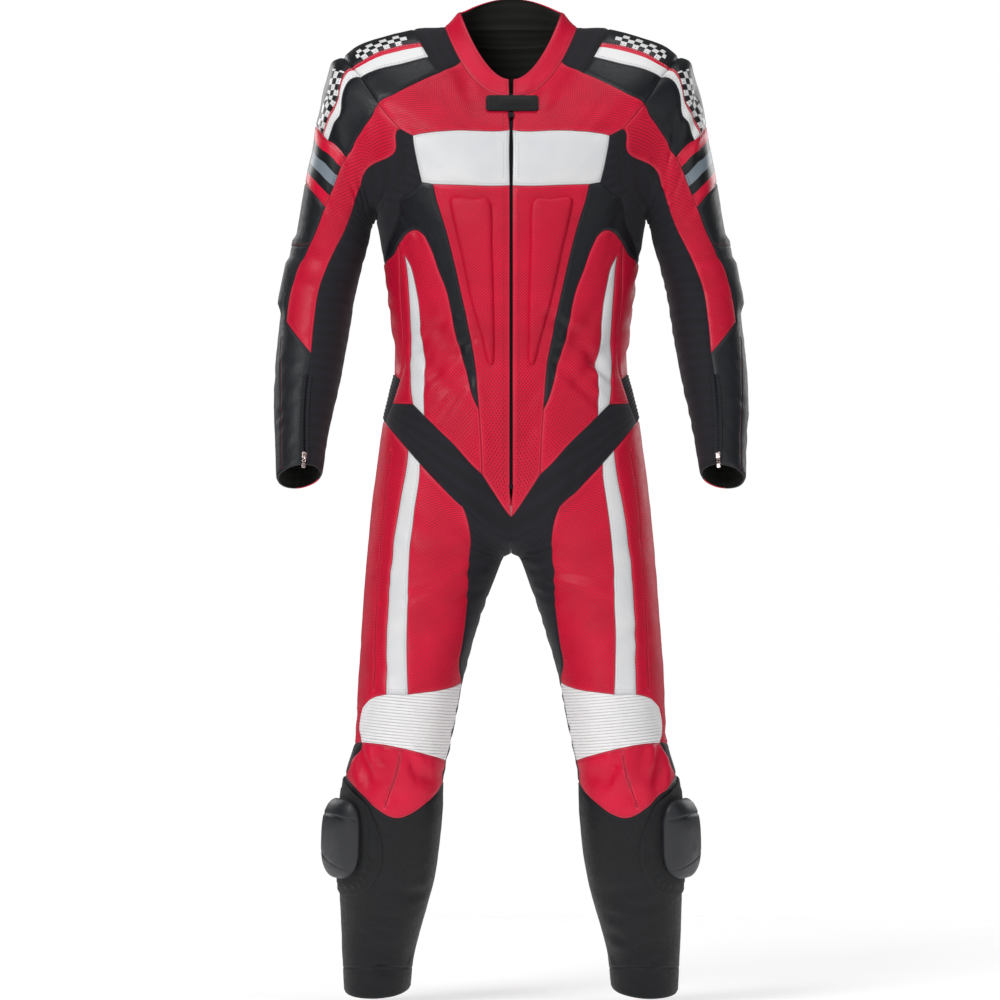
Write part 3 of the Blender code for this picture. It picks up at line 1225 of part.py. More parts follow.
def block(name, finish, middle, axes, low, high, origin=(0, 0, 0)):
    """A box between two corners, given along three axes from its middle."""
    corners = [(x, y, z) for z in (low[2], high[2]) for y in (low[1], high[1]) for x in (low[0], high[0])]
    points = [middle + axes[0] * x + axes[1] * y + axes[2] * z for x, y, z in corners]
    faces = [(0, 2, 3, 1), (4, 5, 7, 6), (0, 1, 5, 4), (2, 6, 7, 3), (0, 4, 6, 2), (1, 3, 7, 5)]
    if np.cross(axes[0], axes[1]) @ axes[2] < 0:
        faces = [face[::-1] for face in faces]
    return add_object(name, points, faces, finish, origin)


slider_place = place("sleeve", 301, -583)
for ending, side in (("_left", 1), ("_right", -1)):
    mirror = np.array([side, 1, 1])
    middle = sleeve(*slider_place) * mirror
    out = direction_out("sleeve", *slider_place) * mirror
    below = sleeve(slider_place[0] + 0.1, slider_place[1]) * mirror
    down = below - middle
    down -= out * (down @ out)
    down /= np.linalg.norm(down)
    across = np.cross(down, out)
    axes = (across, down, out)
    block("cuff_slider" + ending, METAL, middle, axes, (-SLIDER_HALF[0], -SLIDER_HALF[1], SLIDER_LEVELS[0]),
          (SLIDER_HALF[0], SLIDER_HALF[1], SLIDER_LEVELS[1]))
    hinge = middle + down * (SLIDER_HALF[1] + PULL_GAP) + out * PULL_AXIS_LEVEL
    block("cuff_pull" + ending, METAL, hinge, axes, (-PULL_HALF_WIDTH, -PULL_HEEL, -PULL_HALF_THICK),
          (PULL_HALF_WIDTH, PULL_LENGTH, PULL_HALF_THICK), origin=hinge)
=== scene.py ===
import math
from functools import lru_cache, partial

import bpy
import numpy as np
from numpy.linalg import norm
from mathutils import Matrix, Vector, noise
from mathutils.bvhtree import BVHTree
from mathutils.geometry import delaunay_2d_cdt
from mathutils.kdtree import KDTree


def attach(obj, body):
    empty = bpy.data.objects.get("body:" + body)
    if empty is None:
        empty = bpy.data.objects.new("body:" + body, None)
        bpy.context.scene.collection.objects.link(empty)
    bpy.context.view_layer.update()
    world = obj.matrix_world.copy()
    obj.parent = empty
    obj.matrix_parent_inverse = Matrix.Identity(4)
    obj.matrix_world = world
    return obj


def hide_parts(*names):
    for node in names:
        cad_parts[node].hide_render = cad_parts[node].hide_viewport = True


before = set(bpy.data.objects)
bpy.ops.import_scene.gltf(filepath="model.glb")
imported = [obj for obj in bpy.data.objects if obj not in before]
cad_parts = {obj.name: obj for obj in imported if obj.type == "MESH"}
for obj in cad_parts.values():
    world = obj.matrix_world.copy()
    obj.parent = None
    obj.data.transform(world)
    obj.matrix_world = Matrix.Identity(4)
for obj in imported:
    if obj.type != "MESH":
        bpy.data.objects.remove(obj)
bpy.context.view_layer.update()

# Camera, lights and paper. The suit is seen square from the front by a long lens, under soft studio
# light, over plain white paper. Only this section isn't part of the suit.
def linear(code):
    """A six-figure sRGB colour as linear red, green, blue and 1."""
    parts = [int(code[k:k + 2], 16) / 255 for k in (0, 2, 4)]
    return (*(p / 12.92 if p <= 0.04045 else ((p + 0.055) / 1.055) ** 2.4 for p in parts), 1.0)


def fill(target, inputs):
    """Sets a node's inputs: numbers, colours in six figures, or links from a socket or a node's first output. The
    others keep Blender's defaults, such as 0 to 1 for a map range."""
    for key, value in inputs.items():
        if isinstance(value, str):
            value = linear(value)
        if isinstance(value, bpy.types.Node):
            value = value.outputs[0]
        if isinstance(value, bpy.types.NodeSocket):
            target.id_data.links.new(value, target.inputs[key])
        else:
            target.inputs[key].default_value = value
    return target


def add_node(tree, kind, inputs=None, **settings):
    """A node with its settings and inputs."""
    made = tree.nodes.new("ShaderNode" + kind)
    for key, value in settings.items():
        setattr(made, key, value)
    return fill(made, inputs or {})


def new_material(name):
    """An empty material: the function that adds its nodes, its Principled shader and itself."""
    made = bpy.data.materials.new(name)
    made.use_nodes = True
    return partial(add_node, made.node_tree), made.node_tree.nodes["Principled BSDF"], made


def placed(name, data):
    """An object in the scene that shows this mesh, light or camera."""
    made = bpy.data.objects.new(name, data)
    bpy.context.scene.collection.objects.link(made)
    return made


camera_data = bpy.data.cameras.new("studio_camera")
camera_data.sensor_width = 36.0
camera_data.lens = 244.9
camera_data.clip_end = 60
camera = placed("studio_camera", camera_data)
camera.location = (-0.0162, -10.0, -0.6468)
camera.rotation_euler = (math.radians(90), 0, 0)
bpy.context.scene.camera = camera

for name, spot, aim, size, power in (
    ("key_softbox", (-1.7, -3.0, 1.3), (0, 0, -0.5), 1.6, 78),
    ("fill_softbox", (2.3, -2.8, 0.3), (0, 0, -0.6), 2.0, 15),
    ("top_softbox", (0.2, -0.6, 2.4), (0, 0, -0.4), 1.6, 20),
    ("low_softbox", (0.0, -3.2, -1.2), (0, 0, -1.0), 1.8, 5),
    ("back_left_softbox", (-2.2, 2.6, 0.6), (0, 0, -0.6), 1.6, 26),
    ("back_right_softbox", (2.2, 2.6, 0.2), (0, 0, -0.6), 1.6, 26),
):
    light = bpy.data.lights.new(name, "AREA")
    light.shape = "DISK"
    light.size = size
    light.energy = power
    lamp = placed(name, light)
    lamp.location = spot
    lamp.rotation_euler = (Vector(aim) - Vector(spot)).to_track_quat("-Z", "Y").to_euler()

world = bpy.data.worlds.new("studio_air")
world.use_nodes = True
add = partial(add_node, world.node_tree)
air = fill(world.node_tree.nodes["Background"], {"Color": "f6f7f9", "Strength": 0.14})
paper = add("Background", {"Color": "ffffff", "Strength": 1.0})
seen = add("LightPath").outputs["Is Camera Ray"]
both = add("MixShader", {0: seen, 1: air, 2: paper})
fill(world.node_tree.nodes["World Output"], {"Surface": both})
bpy.context.scene.world = world
bpy.context.scene.view_settings.view_transform = "Standard"

GROUND_Z = -1.392
FLOOR_RADIUS = 2.2
add, shader, white_paper = new_material("matt_white_paper_floor")
fibre = add("TexNoise", {"Scale": 30.0, "Detail": 4.0})
paper = add("Mix", {0: fibre, 6: "f3f3f3", 7: "fafafa"}, data_type="RGBA")
fill(shader, {"Base Color": paper.outputs[2], "Roughness": 0.95, "Emission Color": "ffffff",
              "Emission Strength": 0.45})
ground_mesh = bpy.data.meshes.new("paper_floor")
floor_rim = [(FLOOR_RADIUS * math.cos(turn), FLOOR_RADIUS * math.sin(turn), GROUND_Z)
             for turn in np.linspace(0, 2 * math.pi, 96, endpoint=False)]
ground_mesh.from_pydata(floor_rim, [], [tuple(range(96))])
ground_mesh.materials.append(white_paper)
placed("paper_floor", ground_mesh)


# Collar and neck stretch: a standing collar of smooth red cowhide, lined, turned in at its rim and sewn round
# the neck, and a strip of black stretch cloth behind it from shoulder to shoulder. They are the first panels,
# so the torso's form, its seams, folds and creases, and the helpers that cut and sew each panel are here too.
def leather(name, colour, dark, highlight_colour, roughness, grain, holes, coat=0.05, bump=0.25, deep="78081f"):
    """Cowhide: pebbled grain, painted shade in the seam groove, a painted highlight along the rolled edge beside it,
    and air holes where it is punched, darkened with painted shade.
    """
    add, shader, made = new_material(name)
    cloth = add("UVMap", uv_map="cloth")
    away = add("Attribute", attribute_name="seam_distance").outputs["Fac"]
    pebble = add("TexVoronoi", {"Vector": cloth, "Scale": 1000 / grain}, feature="F1")
    patchy = add("TexNoise", {"Vector": cloth, "Scale": 14.0, "Detail": 4.0})
    wear = add("TexNoise", {"Vector": cloth, "Scale": 160.0, "Detail": 3.0})
    tone = add("MapRange", {0: patchy, 1: 0.3, 2: 0.7})
    base = add("Mix", {0: tone, 6: dark, 7: colour}, data_type="RGBA")
    # Painted highlight: a lighter band about 2 mm from each seam, on the rolled edge beside the groove.
    highlight_band = add("ValToRGB", {"Fac": add("MapRange", {0: away, 2: 6.0})})
    for index, (position, level_of) in enumerate(((0.0, 0.0), (0.16, 0.0), (0.34, 0.3), (0.6, 0.0))):
        stop = highlight_band.color_ramp.elements[index] if index < 2 else highlight_band.color_ramp.elements.new(position)
        stop.position = position
        stop.color = (level_of, level_of, level_of, 1)
    edge = add("Mix", {0: highlight_band, 6: base.outputs[2], 7: highlight_colour}, data_type="RGBA")
    # Painted shade: the colour is darkened within 1.6 mm of a seam, where its groove lies.
    groove = add("MapRange", {0: away, 2: 1.6, 3: 0.45, 4: 1.0})
    shade = add("Mix", {0: 1.0, 6: edge.outputs[2], 7: groove}, data_type="RGBA", blend_type="MULTIPLY")
    height = add("Math", {0: pebble, 1: wear}, operation="ADD")
    colour_out = shade.outputs[2]
    height_out = height
    if holes:
        split = add("VectorMath", {0: cloth, 1: (1000 / holes, 1000 / holes, 1.0)}, operation="MULTIPLY")
        turned = add("Mapping", {"Vector": split, "Rotation": (0, 0, 0.785)})
        cell = add("VectorMath", {0: turned}, operation="FRACTION")
        centred = add("VectorMath", {0: cell, 1: (0.5, 0.5, 0.0)}, operation="SUBTRACT")
        flat_cell = add("VectorMath", {0: centred, 1: (1, 1, 0)}, operation="MULTIPLY")
        far = add("VectorMath", {0: flat_cell}, operation="LENGTH")
        hole = add("MapRange", {0: far.outputs["Value"], 1: 0.2, 2: 0.3, 3: 1.0, 4: 0.0})
        clear = add("MapRange", {0: away, 1: 5.2, 2: 6.0})
        punched = add("Math", {0: hole, 1: clear}, operation="MULTIPLY")
        # Painted shade: the punched holes take the darker colour given as deep.
        hole_shade_mix = add("Mix", {0: punched, 6: colour_out, 7: deep}, data_type="RGBA")
        sunk = add("Math", {0: height_out, 1: punched}, operation="SUBTRACT")
        colour_out = hole_shade_mix.outputs[2]
        height_out = sunk
    gloss = add("MapRange", {0: wear, 1: 0.3, 2: 0.7, 3: roughness - 0.06, 4: roughness + 0.08})
    relief = add("Bump", {"Height": height_out, "Strength": bump, "Distance": 0.0006})
    fill(shader, {"Base Color": colour_out, "Roughness": gloss, "Normal": relief, "IOR": 1.5,
                  "Specular IOR Level": 0.3, "Coat Weight": coat, "Coat Roughness": 0.3})
    return made


smooth_red = (leather("red_smooth_cowhide", "dc0439", "c80331", "ee5c70", 0.48, 1.2, 0), "red_leather", "red")


def woven_lining(name, colour, ribs):
    """Knitted lining or stretch cloth: matt, with fine ribs, and a painted highlight that makes their crests
    lighter.
    """
    add, shader, made = new_material(name)
    cloth = add("UVMap", uv_map="cloth")
    wave = add("TexWave", {"Vector": cloth, "Scale": 1000 / ribs / 20, "Distortion": 0.4},
               wave_type="BANDS", bands_direction="Y")
    fuzz = add("TexNoise", {"Vector": cloth, "Scale": 900.0})
    # Painted highlight: where the wave raises a rib's crest, the cloth takes the lighter colour.
    mixed = add("Mix", {0: wave.outputs["Fac"], 6: colour[0], 7: colour[1]}, data_type="RGBA")
    height = add("Math", {0: wave.outputs["Fac"], 1: fuzz}, operation="ADD")
    relief = add("Bump", {"Height": height, "Strength": 0.5, "Distance": 0.0006})
    fill(shader, {"Base Color": mixed.outputs[2], "Normal": relief, "Roughness": 0.82, "Sheen Weight": 0.08,
                  "Sheen Roughness": 0.5})
    return made


# The lining's ribs stand 2.2 mm apart and the stretch cloth's 3 mm, about twice the real ones, so that they show.
lining = woven_lining("olive_black_mesh_lining", ("0f100d", "1a1b15"), 2.2)
black_stretch = (woven_lining("black_ribbed_stretch_cloth", ("04040d", "0a0b1a"), 3.0), "black_stretch", None)

MM = 0.001
# How a place is found: on a limb's front or back by x and z, or by its turn and height
FRONT = 1
BACK = -1
LEVEL = "level"

# Torso sections from the collar's rim down to the belt line
# half_width, z_side, fore, z_front, aft, z_back, square, vee, y, dip
TORSO = np.array([
    (76, 72, 66, -31, 66, 96, 2.0, 2.0, 12, 0),
    (98, 50, 82, -56, 82, 52, 2.0, 2.5, 12, 0),
    (138, 47, 101, -84, 97, 24, 2.1, 2.2, 8, 0),
    (188, 34, 114, -108, 108, -12, 2.2, 2.0, 5, 0),
    (232, 16, 121, -134, 115, -51, 2.3, 2.0, 1, 0),
    (251, -14, 126, -160, 122, -92, 2.3, 2.0, -1, 0),
    (240, -84, 130, -192, 126, -138, 2.3, 2.0, -2, 0),
    (221, -155, 132, -222, 128, -184, 2.3, 2.0, -2, 0),
    (205, -208, 133, -250, 127, -222, 2.3, 2.0, -2, 0),
    (195, -252, 132, -278, 125, -256, 2.3, 2.0, -1, 0),
    (187, -298, 129, -318, 121, -300, 2.3, 2.0, 0, 0),
    (181, -350, 123, -362, 114, -350, 2.3, 2.0, 1, 0),
    (174, -402, 117, -410, 107, -402, 2.3, 2.0, 2, 0),
    (170, -450, 114, -456, 103, -450, 2.3, 2.0, 3, 0),
    (178, -488, 115, -512, 107, -490, 2.3, 1.8, 3, 0),
    (183, -508, 116, -575, 114, -542, 2.3, 1.55, 3, 4),
    (186, -520, 116, -642, 119, -600, 2.3, 1.4, 3, 18),
    (188, -530, 114, -708, 121, -655, 2.3, 1.3, 4, 34),
], float)
RIM_ROW = 0
NECK_ROW = 1
BELT_ROW = len(TORSO) - 1
DIP_HALF_WIDTH = 75.0


def through(table, row):
    """The table's columns at a fractional row, on a smooth curve through the rows."""
    table = np.asarray(table, float)
    last = len(table) - 1
    row = np.clip(np.asarray(row, float), 0, last)
    lower = np.minimum(row.astype(int), last - 1)
    part = (row - lower)[..., None]
    start = table[lower]
    end = table[lower + 1]
    before = table[np.maximum(lower - 1, 0)]
    after = table[np.minimum(lower + 2, last)]
    slope_start = np.where((lower > 0)[..., None], (end - before) / 2, end - start)
    slope_end = np.where((lower < last - 1)[..., None], (after - start) / 2, end - start)
    square = part ** 2
    cube = part ** 3
    return (
        start * (2 * cube - 3 * square + 1)
        + slope_start * (cube - 2 * square + part)
        + end * (3 * square - 2 * cube)
        + slope_end * (cube - square)
    )


def swing(turn, square):
    """Sideways and forward parts of a rounded-square ring at this turn."""
    angle = np.radians(turn)
    power = 2 / square
    side = np.sin(angle)
    fore = np.cos(angle)
    return np.sign(side) * np.abs(side) ** power, np.sign(fore) * np.abs(fore) ** power


def torso(row, turn):
    """The torso's wall at this row and turn, in millimetres."""
    half, z_side, fore, z_front, aft, z_back, square, vee, y, dip = np.moveaxis(through(TORSO, row), -1, 0)
    side, ahead = swing(turn, square)
    facing_front = ahead > 0
    x = half * side
    notch = np.clip(1 - (x / DIP_HALF_WIDTH) ** 2, 0, 1) ** 2
    depth = np.where(facing_front, fore, aft)
    drop = np.where(facing_front, z_front, z_back) - z_side
    power = np.where(facing_front, vee, 2.0)
    z = z_side + drop * (1 - np.abs(side) ** power)
    return np.stack([x, y - depth * ahead + np.sign(ahead) * dip * notch, z], -1)


# Armhole: turn round the sleeve, and the place on the torso as x, z and the face it lies on
ARMHOLE = (
    (8, 162, -107, FRONT),
    (30, 194, -69, FRONT),
    (55, 220, -29, FRONT),
    (70, 233, -14, FRONT),
    (90, 246, 3, BACK),
    (110, 239, -9, BACK),
    (135, 214, -38, BACK),
    (155, 190, -75, BACK),
    (180, 170, -120, BACK),
    (205, 172, -165, BACK),
    (232, 182, -208, BACK),
    (270, 198, -235, FRONT),
    (315, 172, -200, FRONT),
    (345, 158, -152, FRONT),
)


def armhole_place(turn):
    """Row and turn on the torso of the armhole's edge, at this turn of the sleeve."""
    turn = np.mod(np.asarray(turn, float) - ARMHOLE[0][0], 360) + ARMHOLE[0][0]
    index = np.interp(turn, ARMHOLE_TURNS, np.arange(len(ARMHOLE_TURNS)))
    return through(ARMHOLE_PLACES, index)


def armhole_ring(turn):
    """The armhole's edge at this turn of the sleeve."""
    place = armhole_place(turn)
    return torso(place[..., 0], place[..., 1])


LIMBS = {"torso": torso}
LIMB_RADIUS = {"torso": 150.0, "sleeve": 58.0, "leg": 88.0}
LAST_ROW = {"torso": BELT_ROW}
GRIDS = {}
LENGTHS = {}
ARCS = {}


def chart(limb):
    """A limb's tables: a grid of places, the length down it at each row, and the length round each ring."""
    rows = np.linspace(0, LAST_ROW[limb], LAST_ROW[limb] * 8 + 1)
    turns = np.linspace(-180, 180, 181)
    row, turn = np.meshgrid(rows, turns, indexing="ij")
    spots = LIMBS[limb](row, turn)
    GRIDS[limb] = (row, turn, spots)
    steps = norm(np.diff(spots, axis=0), axis=-1).mean(axis=1)
    LENGTHS[limb] = (rows, np.concatenate([[0], np.cumsum(steps)]))
    rows = np.linspace(0, LAST_ROW[limb], LAST_ROW[limb] * 4 + 1)
    turns = np.linspace(-240, 420, 331)
    row, turn = np.meshgrid(rows, turns, indexing="ij")
    spots = LIMBS[limb](row, turn)
    steps = norm(np.diff(spots, axis=1), axis=-1)
    arcs = np.concatenate([np.zeros((len(rows), 1)), np.cumsum(steps, 1)], 1)
    ARCS[limb] = (rows, turns, arcs - arcs[:, [120]])


def place(limb, x, z, face=FRONT):
    """Row and turn of the point of the limb's front or back that lies at x and z."""
    row, turn, spots = GRIDS[limb]
    miss = (spots[..., 0] - x) ** 2 + (spots[..., 2] - z) ** 2
    miss = miss + np.where(np.cos(np.radians(turn)) * face > -0.02, 0, 1e6)
    best = np.unravel_index(np.argmin(miss), miss.shape)
    spot = np.array([row[best], turn[best]])
    small = 1e-3
    for _ in range(12):
        here = LIMBS[limb](spot[0], spot[1])[[0, 2]]
        by_row = (LIMBS[limb](spot[0] + small, spot[1])[[0, 2]] - here) / small
        by_turn = (LIMBS[limb](spot[0], spot[1] + small)[[0, 2]] - here) / small
        slope = np.stack([by_row, by_turn], 1)
        wanted = np.array([x, z]) - here
        damp = np.diag([4.0, 0.002])
        spot = spot + np.linalg.solve(slope.T @ slope + damp, slope.T @ wanted)
        spot[0] = min(max(spot[0], 0), LAST_ROW[limb] - 2 * small)
    return spot


def level(limb, turn, z):
    """Row and turn of the point at this turn and height."""
    rows = np.linspace(0, LAST_ROW[limb], 400)
    heights = LIMBS[limb](rows, np.full_like(rows, turn))[:, 2]
    return np.array([rows[np.argmin(np.abs(heights - z))], float(turn)])


def direction_out(limb, row, turn):
    """Unit direction out of the wall."""
    small = 0.02
    surface = LIMBS[limb]
    row = np.clip(row, small, LAST_ROW[limb] - small)
    by_row = surface(row + small, turn) - surface(row - small, turn)
    by_turn = surface(row, turn + 1) - surface(row, turn - 1)
    out = np.cross(by_row, by_turn)
    return out / np.maximum(norm(out, axis=-1, keepdims=True), 1e-9)


def spots_at(limb, places):
    """The wall at these places."""
    return LIMBS[limb](places[:, 0], places[:, 1])


def ways_at(limb, places):
    """Directions out of the wall at these places."""
    return direction_out(limb, places[:, 0], places[:, 1])


def run_length(line):
    """Length along a line, at each of its spots."""
    return np.concatenate([[0], np.cumsum(norm(np.diff(line, axis=0), axis=1))])


def at_lengths(wanted, length, line):
    """The line at these lengths along it."""
    return np.stack([np.interp(wanted, length, column) for column in line.T], 1)


def fold_depth(limb, spots):
    """How far the folds move the wall in or out at these points of its front."""
    moved = np.zeros(len(spots))
    for where, start, end, half_width, depth in FOLDS:
        if where != limb:
            continue
        start = np.array(start, float)
        along = np.array(end, float) - start
        flat = np.stack([np.abs(spots[:, 0]), spots[:, 2]], 1) - start
        part = np.clip(flat @ along / (along @ along), 0, 1)
        away = norm(flat - part[:, None] * along, axis=1)
        fade = np.sin(np.pi * np.clip(part, 0.02, 0.98))
        on_front = spots[:, 1] < 20
        moved += np.where(on_front, depth * fade * np.exp(-(away / half_width) ** 2), 0)
    return moved


# Folds of the leather: limb, ends as x and z on the front, half-width and depth
FOLDS = (
    ("torso", (60, -470), (150, -330), 11, -4.0),
    ("torso", (75, -505), (160, -400), 10, -4.5),
    ("torso", (18, -520), (44, -470), 8, -3.0),
    ("torso", (15, -575), (42, -520), 8, -3.0),
    ("torso", (110, -118), (185, -84), 9, -3.5),
    ("sleeve", (255, -300), (330, -285), 10, -4.0),
    ("sleeve", (262, -345), (325, -325), 9, -3.0),
    ("leg", (120, -1060), (150, -1030), 11, -4.5),
    ("leg", (175, -1060), (215, -1035), 10, -4.5),
    ("leg", (150, -1085), (185, -1070), 9, -3.5),
    ("leg", (130, -1330), (235, -1300), 10, -3.0),
    ("leg", (125, -1230), (200, -1210), 10, -2.5),
)


SEAM_STEP = 6.0
SEAMS = {}
NODES = {}


def run(limb, places, step=SEAM_STEP, smooth=True):
    """Places a step apart on a curve through these places."""
    places = np.array(places, float)
    fine = np.linspace(0, len(places) - 1, 24 * (len(places) - 1) + 1)
    if smooth:
        curve = through(places, fine)
    else:
        curve = at_lengths(fine, np.arange(len(places)), places)
    spots = spots_at(limb, curve)
    length = run_length(spots)
    count = max(1, math.ceil(length[-1] / step))
    wanted = np.linspace(0, length[-1], count + 1)
    sampled = at_lengths(wanted, length, curve)
    sampled[0] = places[0]
    sampled[-1] = places[-1]
    return sampled


def on_limb(limb, spot):
    """Row and turn, as they are, or found from x and z on the front, or from the turn and z for LEVEL."""
    if isinstance(spot, np.ndarray):
        return spot
    return level(limb, *spot[:2]) if spot[-1] == LEVEL else place(limb, *spot)


def seam(name, limb, start, between, end, smooth=True):
    """A seam from node to node. Each place between is x and z on the front, or has its own row and turn."""
    places = [NODES[limb, start], *(on_limb(limb, spot) for spot in between), NODES[limb, end]]
    SEAMS[limb, name] = run(limb, places, SEAM_STEP, smooth)


def node(name, limb, spot):
    """A named place where seams meet."""
    NODES[limb, name] = on_limb(limb, spot)


def loop(limb, names):
    """A limb, and places on it once round the panel. A minus sign marks a seam run backwards."""
    places = []
    for name in names.split():
        samples = SEAMS[limb, name.lstrip("-")]
        places.extend((samples[::-1] if name.startswith("-") else samples)[:-1])
    return limb, np.array(places)


def turned(limb, name, degrees, new_name):
    """The same seam, counted a full turn further round, for a panel on its other side."""
    SEAMS[limb, new_name] = SEAMS[limb, name] + np.array([0.0, degrees])


def flat_places(limb, places):
    """Places as millimetres on a flat sheet: round the limb and along it."""
    rows, lengths = LENGTHS[limb]
    across = np.radians(places[:, 1]) * LIMB_RADIUS[limb]
    return np.stack([across, np.interp(places[:, 0], rows, lengths)], 1)


def arc_at(limb, row, turn):
    """The length round the limb from its front."""
    rows, turns, arcs = ARCS[limb]
    j = np.clip(row / rows[-1] * (len(rows) - 1), 0, len(rows) - 1.001)
    k = np.clip((turn - turns[0]) / (turns[1] - turns[0]), 0, len(turns) - 1.001)
    low_j, low_k = j.astype(int), k.astype(int)
    part_j, part_k = j - low_j, k - low_k
    near = arcs[low_j, low_k] * (1 - part_k) + arcs[low_j, low_k + 1] * part_k
    far = arcs[low_j + 1, low_k] * (1 - part_k) + arcs[low_j + 1, low_k + 1] * part_k
    return near * (1 - part_j) + far * part_j


def cloth_map(limb, places, middle_turn):
    """Millimetres across and along the cut panel, for the leather's grain and print."""
    rows, lengths = LENGTHS[limb]
    across = arc_at(limb, places[:, 0], places[:, 1])
    across -= arc_at(limb, places[:, 0], np.full(len(places), middle_turn))
    return np.stack([across, -np.interp(places[:, 0], rows, lengths)], 1)


def edge_distance(points, outline):
    """Distance of each point from a closed outline, and whether it is inside."""
    start = outline
    end = np.roll(outline, -1, axis=0)
    along = end - start
    span = np.maximum((along ** 2).sum(1), 1e-12)
    part = np.clip(((points[:, None] - start) * along).sum(2) / span, 0, 1)
    nearest = start + part[..., None] * along
    away = norm(points[:, None] - nearest, axis=2).min(1)
    return away, is_inside(points, outline)


def is_inside(points, outline):
    """Whether each point lies inside a closed outline."""
    found = []
    end = np.roll(outline, -1, axis=0)
    rise = end[:, 1] - outline[:, 1]
    rise = np.where(np.abs(rise) < 1e-12, 1e-12, rise)
    slope = (end[:, 0] - outline[:, 0]) / rise
    for first in range(0, len(points), 2000):
        some = points[first:first + 2000]
        crosses = (outline[:, 1] > some[:, None, 1]) != (end[:, 1] > some[:, None, 1])
        x_there = outline[:, 0] + (some[:, None, 1] - outline[:, 1]) * slope
        found.append((crosses & (some[:, None, 0] < x_there)).sum(1) % 2 == 1)
    return np.concatenate(found) if found else np.zeros(0, bool)


def tree_of(spots):
    """A search tree of these spots."""
    tree = KDTree(len(spots))
    for index, spot in enumerate(spots):
        tree.insert(spot, index)
    tree.balance()
    return tree


def distances(tree, spots):
    """How far each spot is from the tree's nearest."""
    return np.array([tree.find(spot)[2] for spot in spots])


def divided(start, end, step=1.5):
    """Spots along straight stretches from each start to its end."""
    made = []
    for a, b in zip(start, end):
        count = max(1, int(norm(b - a) / step))
        made.append(a + (b - a) * (np.arange(count) / count)[:, None])
    return np.concatenate(made)


def moved_in(limb, outline, by):
    """Places this many millimetres inside an outline's points, along the surface."""
    small = 1e-3
    turn = outline[:, 1]
    row = np.clip(outline[:, 0], small, LAST_ROW[limb] - small)
    by_row = (LIMBS[limb](row + small, turn) - LIMBS[limb](row - small, turn)) / (2 * small)
    by_turn = (LIMBS[limb](row, turn + small) - LIMBS[limb](row, turn - small)) / (2 * small)
    spots = spots_at(limb, outline)
    inward = np.cross(np.cross(by_row, by_turn), np.roll(spots, -1, axis=0) - np.roll(spots, 1, axis=0))
    inward /= np.maximum(norm(inward, axis=1, keepdims=True), 1e-9)
    turning = outline - outline.mean(0)
    area = (turning[:, 0] * np.roll(turning[:, 1], -1) - turning[:, 1] * np.roll(turning[:, 0], -1)).sum()
    slope = np.stack([by_row, by_turn], 2)
    return outline + (np.linalg.pinv(slope) @ inward[..., None])[..., 0] * np.sign(area) * by


EDGE_ROWS = (1.5, 4.0, 8.0)
GRID_STEP = 7.5


def filled(limb, outline, edge, extra):
    """Places inside a panel's outline, and the triangles between them and the outline."""
    row_of, lengths = LENGTHS[limb]
    span = max(np.ptp(outline[:, 1]), 1.0)
    heights = np.linspace(outline[:, 0].min(), outline[:, 0].max(), 7)
    ring = np.abs(arc_at(limb, heights, np.full(7, outline[:, 1].max()))
                  - arc_at(limb, heights, np.full(7, outline[:, 1].min()))).mean()
    radius = ring / span

    def flat(places):
        return np.stack([places[:, 1] * radius, np.interp(places[:, 0], row_of, lengths)], 1)

    def unflat(points):
        return np.stack([np.interp(points[:, 1], lengths, row_of), points[:, 0] / radius], 1)

    border = flat(outline)
    parts = [outline]
    for by in EDGE_ROWS:
        row = moved_in(limb, outline, by)
        row = row[is_inside(flat(row), border)]
        if len(row):
            away = distances(edge, spots_at(limb, row))
            parts.append(row[away > by * 0.86])
    if len(extra):
        extra = extra[is_inside(flat(extra), border)]
        away = distances(edge, spots_at(limb, extra))
        parts.append(extra[away > EDGE_ROWS[-1] + 2])
    low, high = border.min(0), border.max(0)
    across = np.arange(low[0], high[0], GRID_STEP)
    down = np.arange(low[1], high[1], GRID_STEP * 0.87)
    x, y = np.meshgrid(across, down)
    x = x + (np.arange(len(down)) % 2)[:, None] * GRID_STEP / 2
    grid = np.stack([x.ravel(), y.ravel()], 1)
    grid = unflat(grid[is_inside(grid, border)])
    if len(grid):
        away = distances(edge, spots_at(limb, grid))
        grid = grid[away > EDGE_ROWS[-1] + GRID_STEP * 0.6]
    if len(grid) and len(extra):
        near = tree_of(spots_at(limb, extra))
        grid = grid[distances(near, spots_at(limb, grid)) > 4.5]
    parts.append(grid)
    places = np.concatenate(parts)
    count = len(outline)
    result = delaunay_2d_cdt([Vector(p) for p in flat(places)], [(k, (k + 1) % count) for k in range(count)], [],
                             1, 1e-4)
    origin = np.array([sources[0] for sources in result[3]])
    return places, origin[np.array(result[2])]


# Groups of soft creases: limb, first and last turn, top, bottom, count, length, tilt, width, depth
CREASES = []


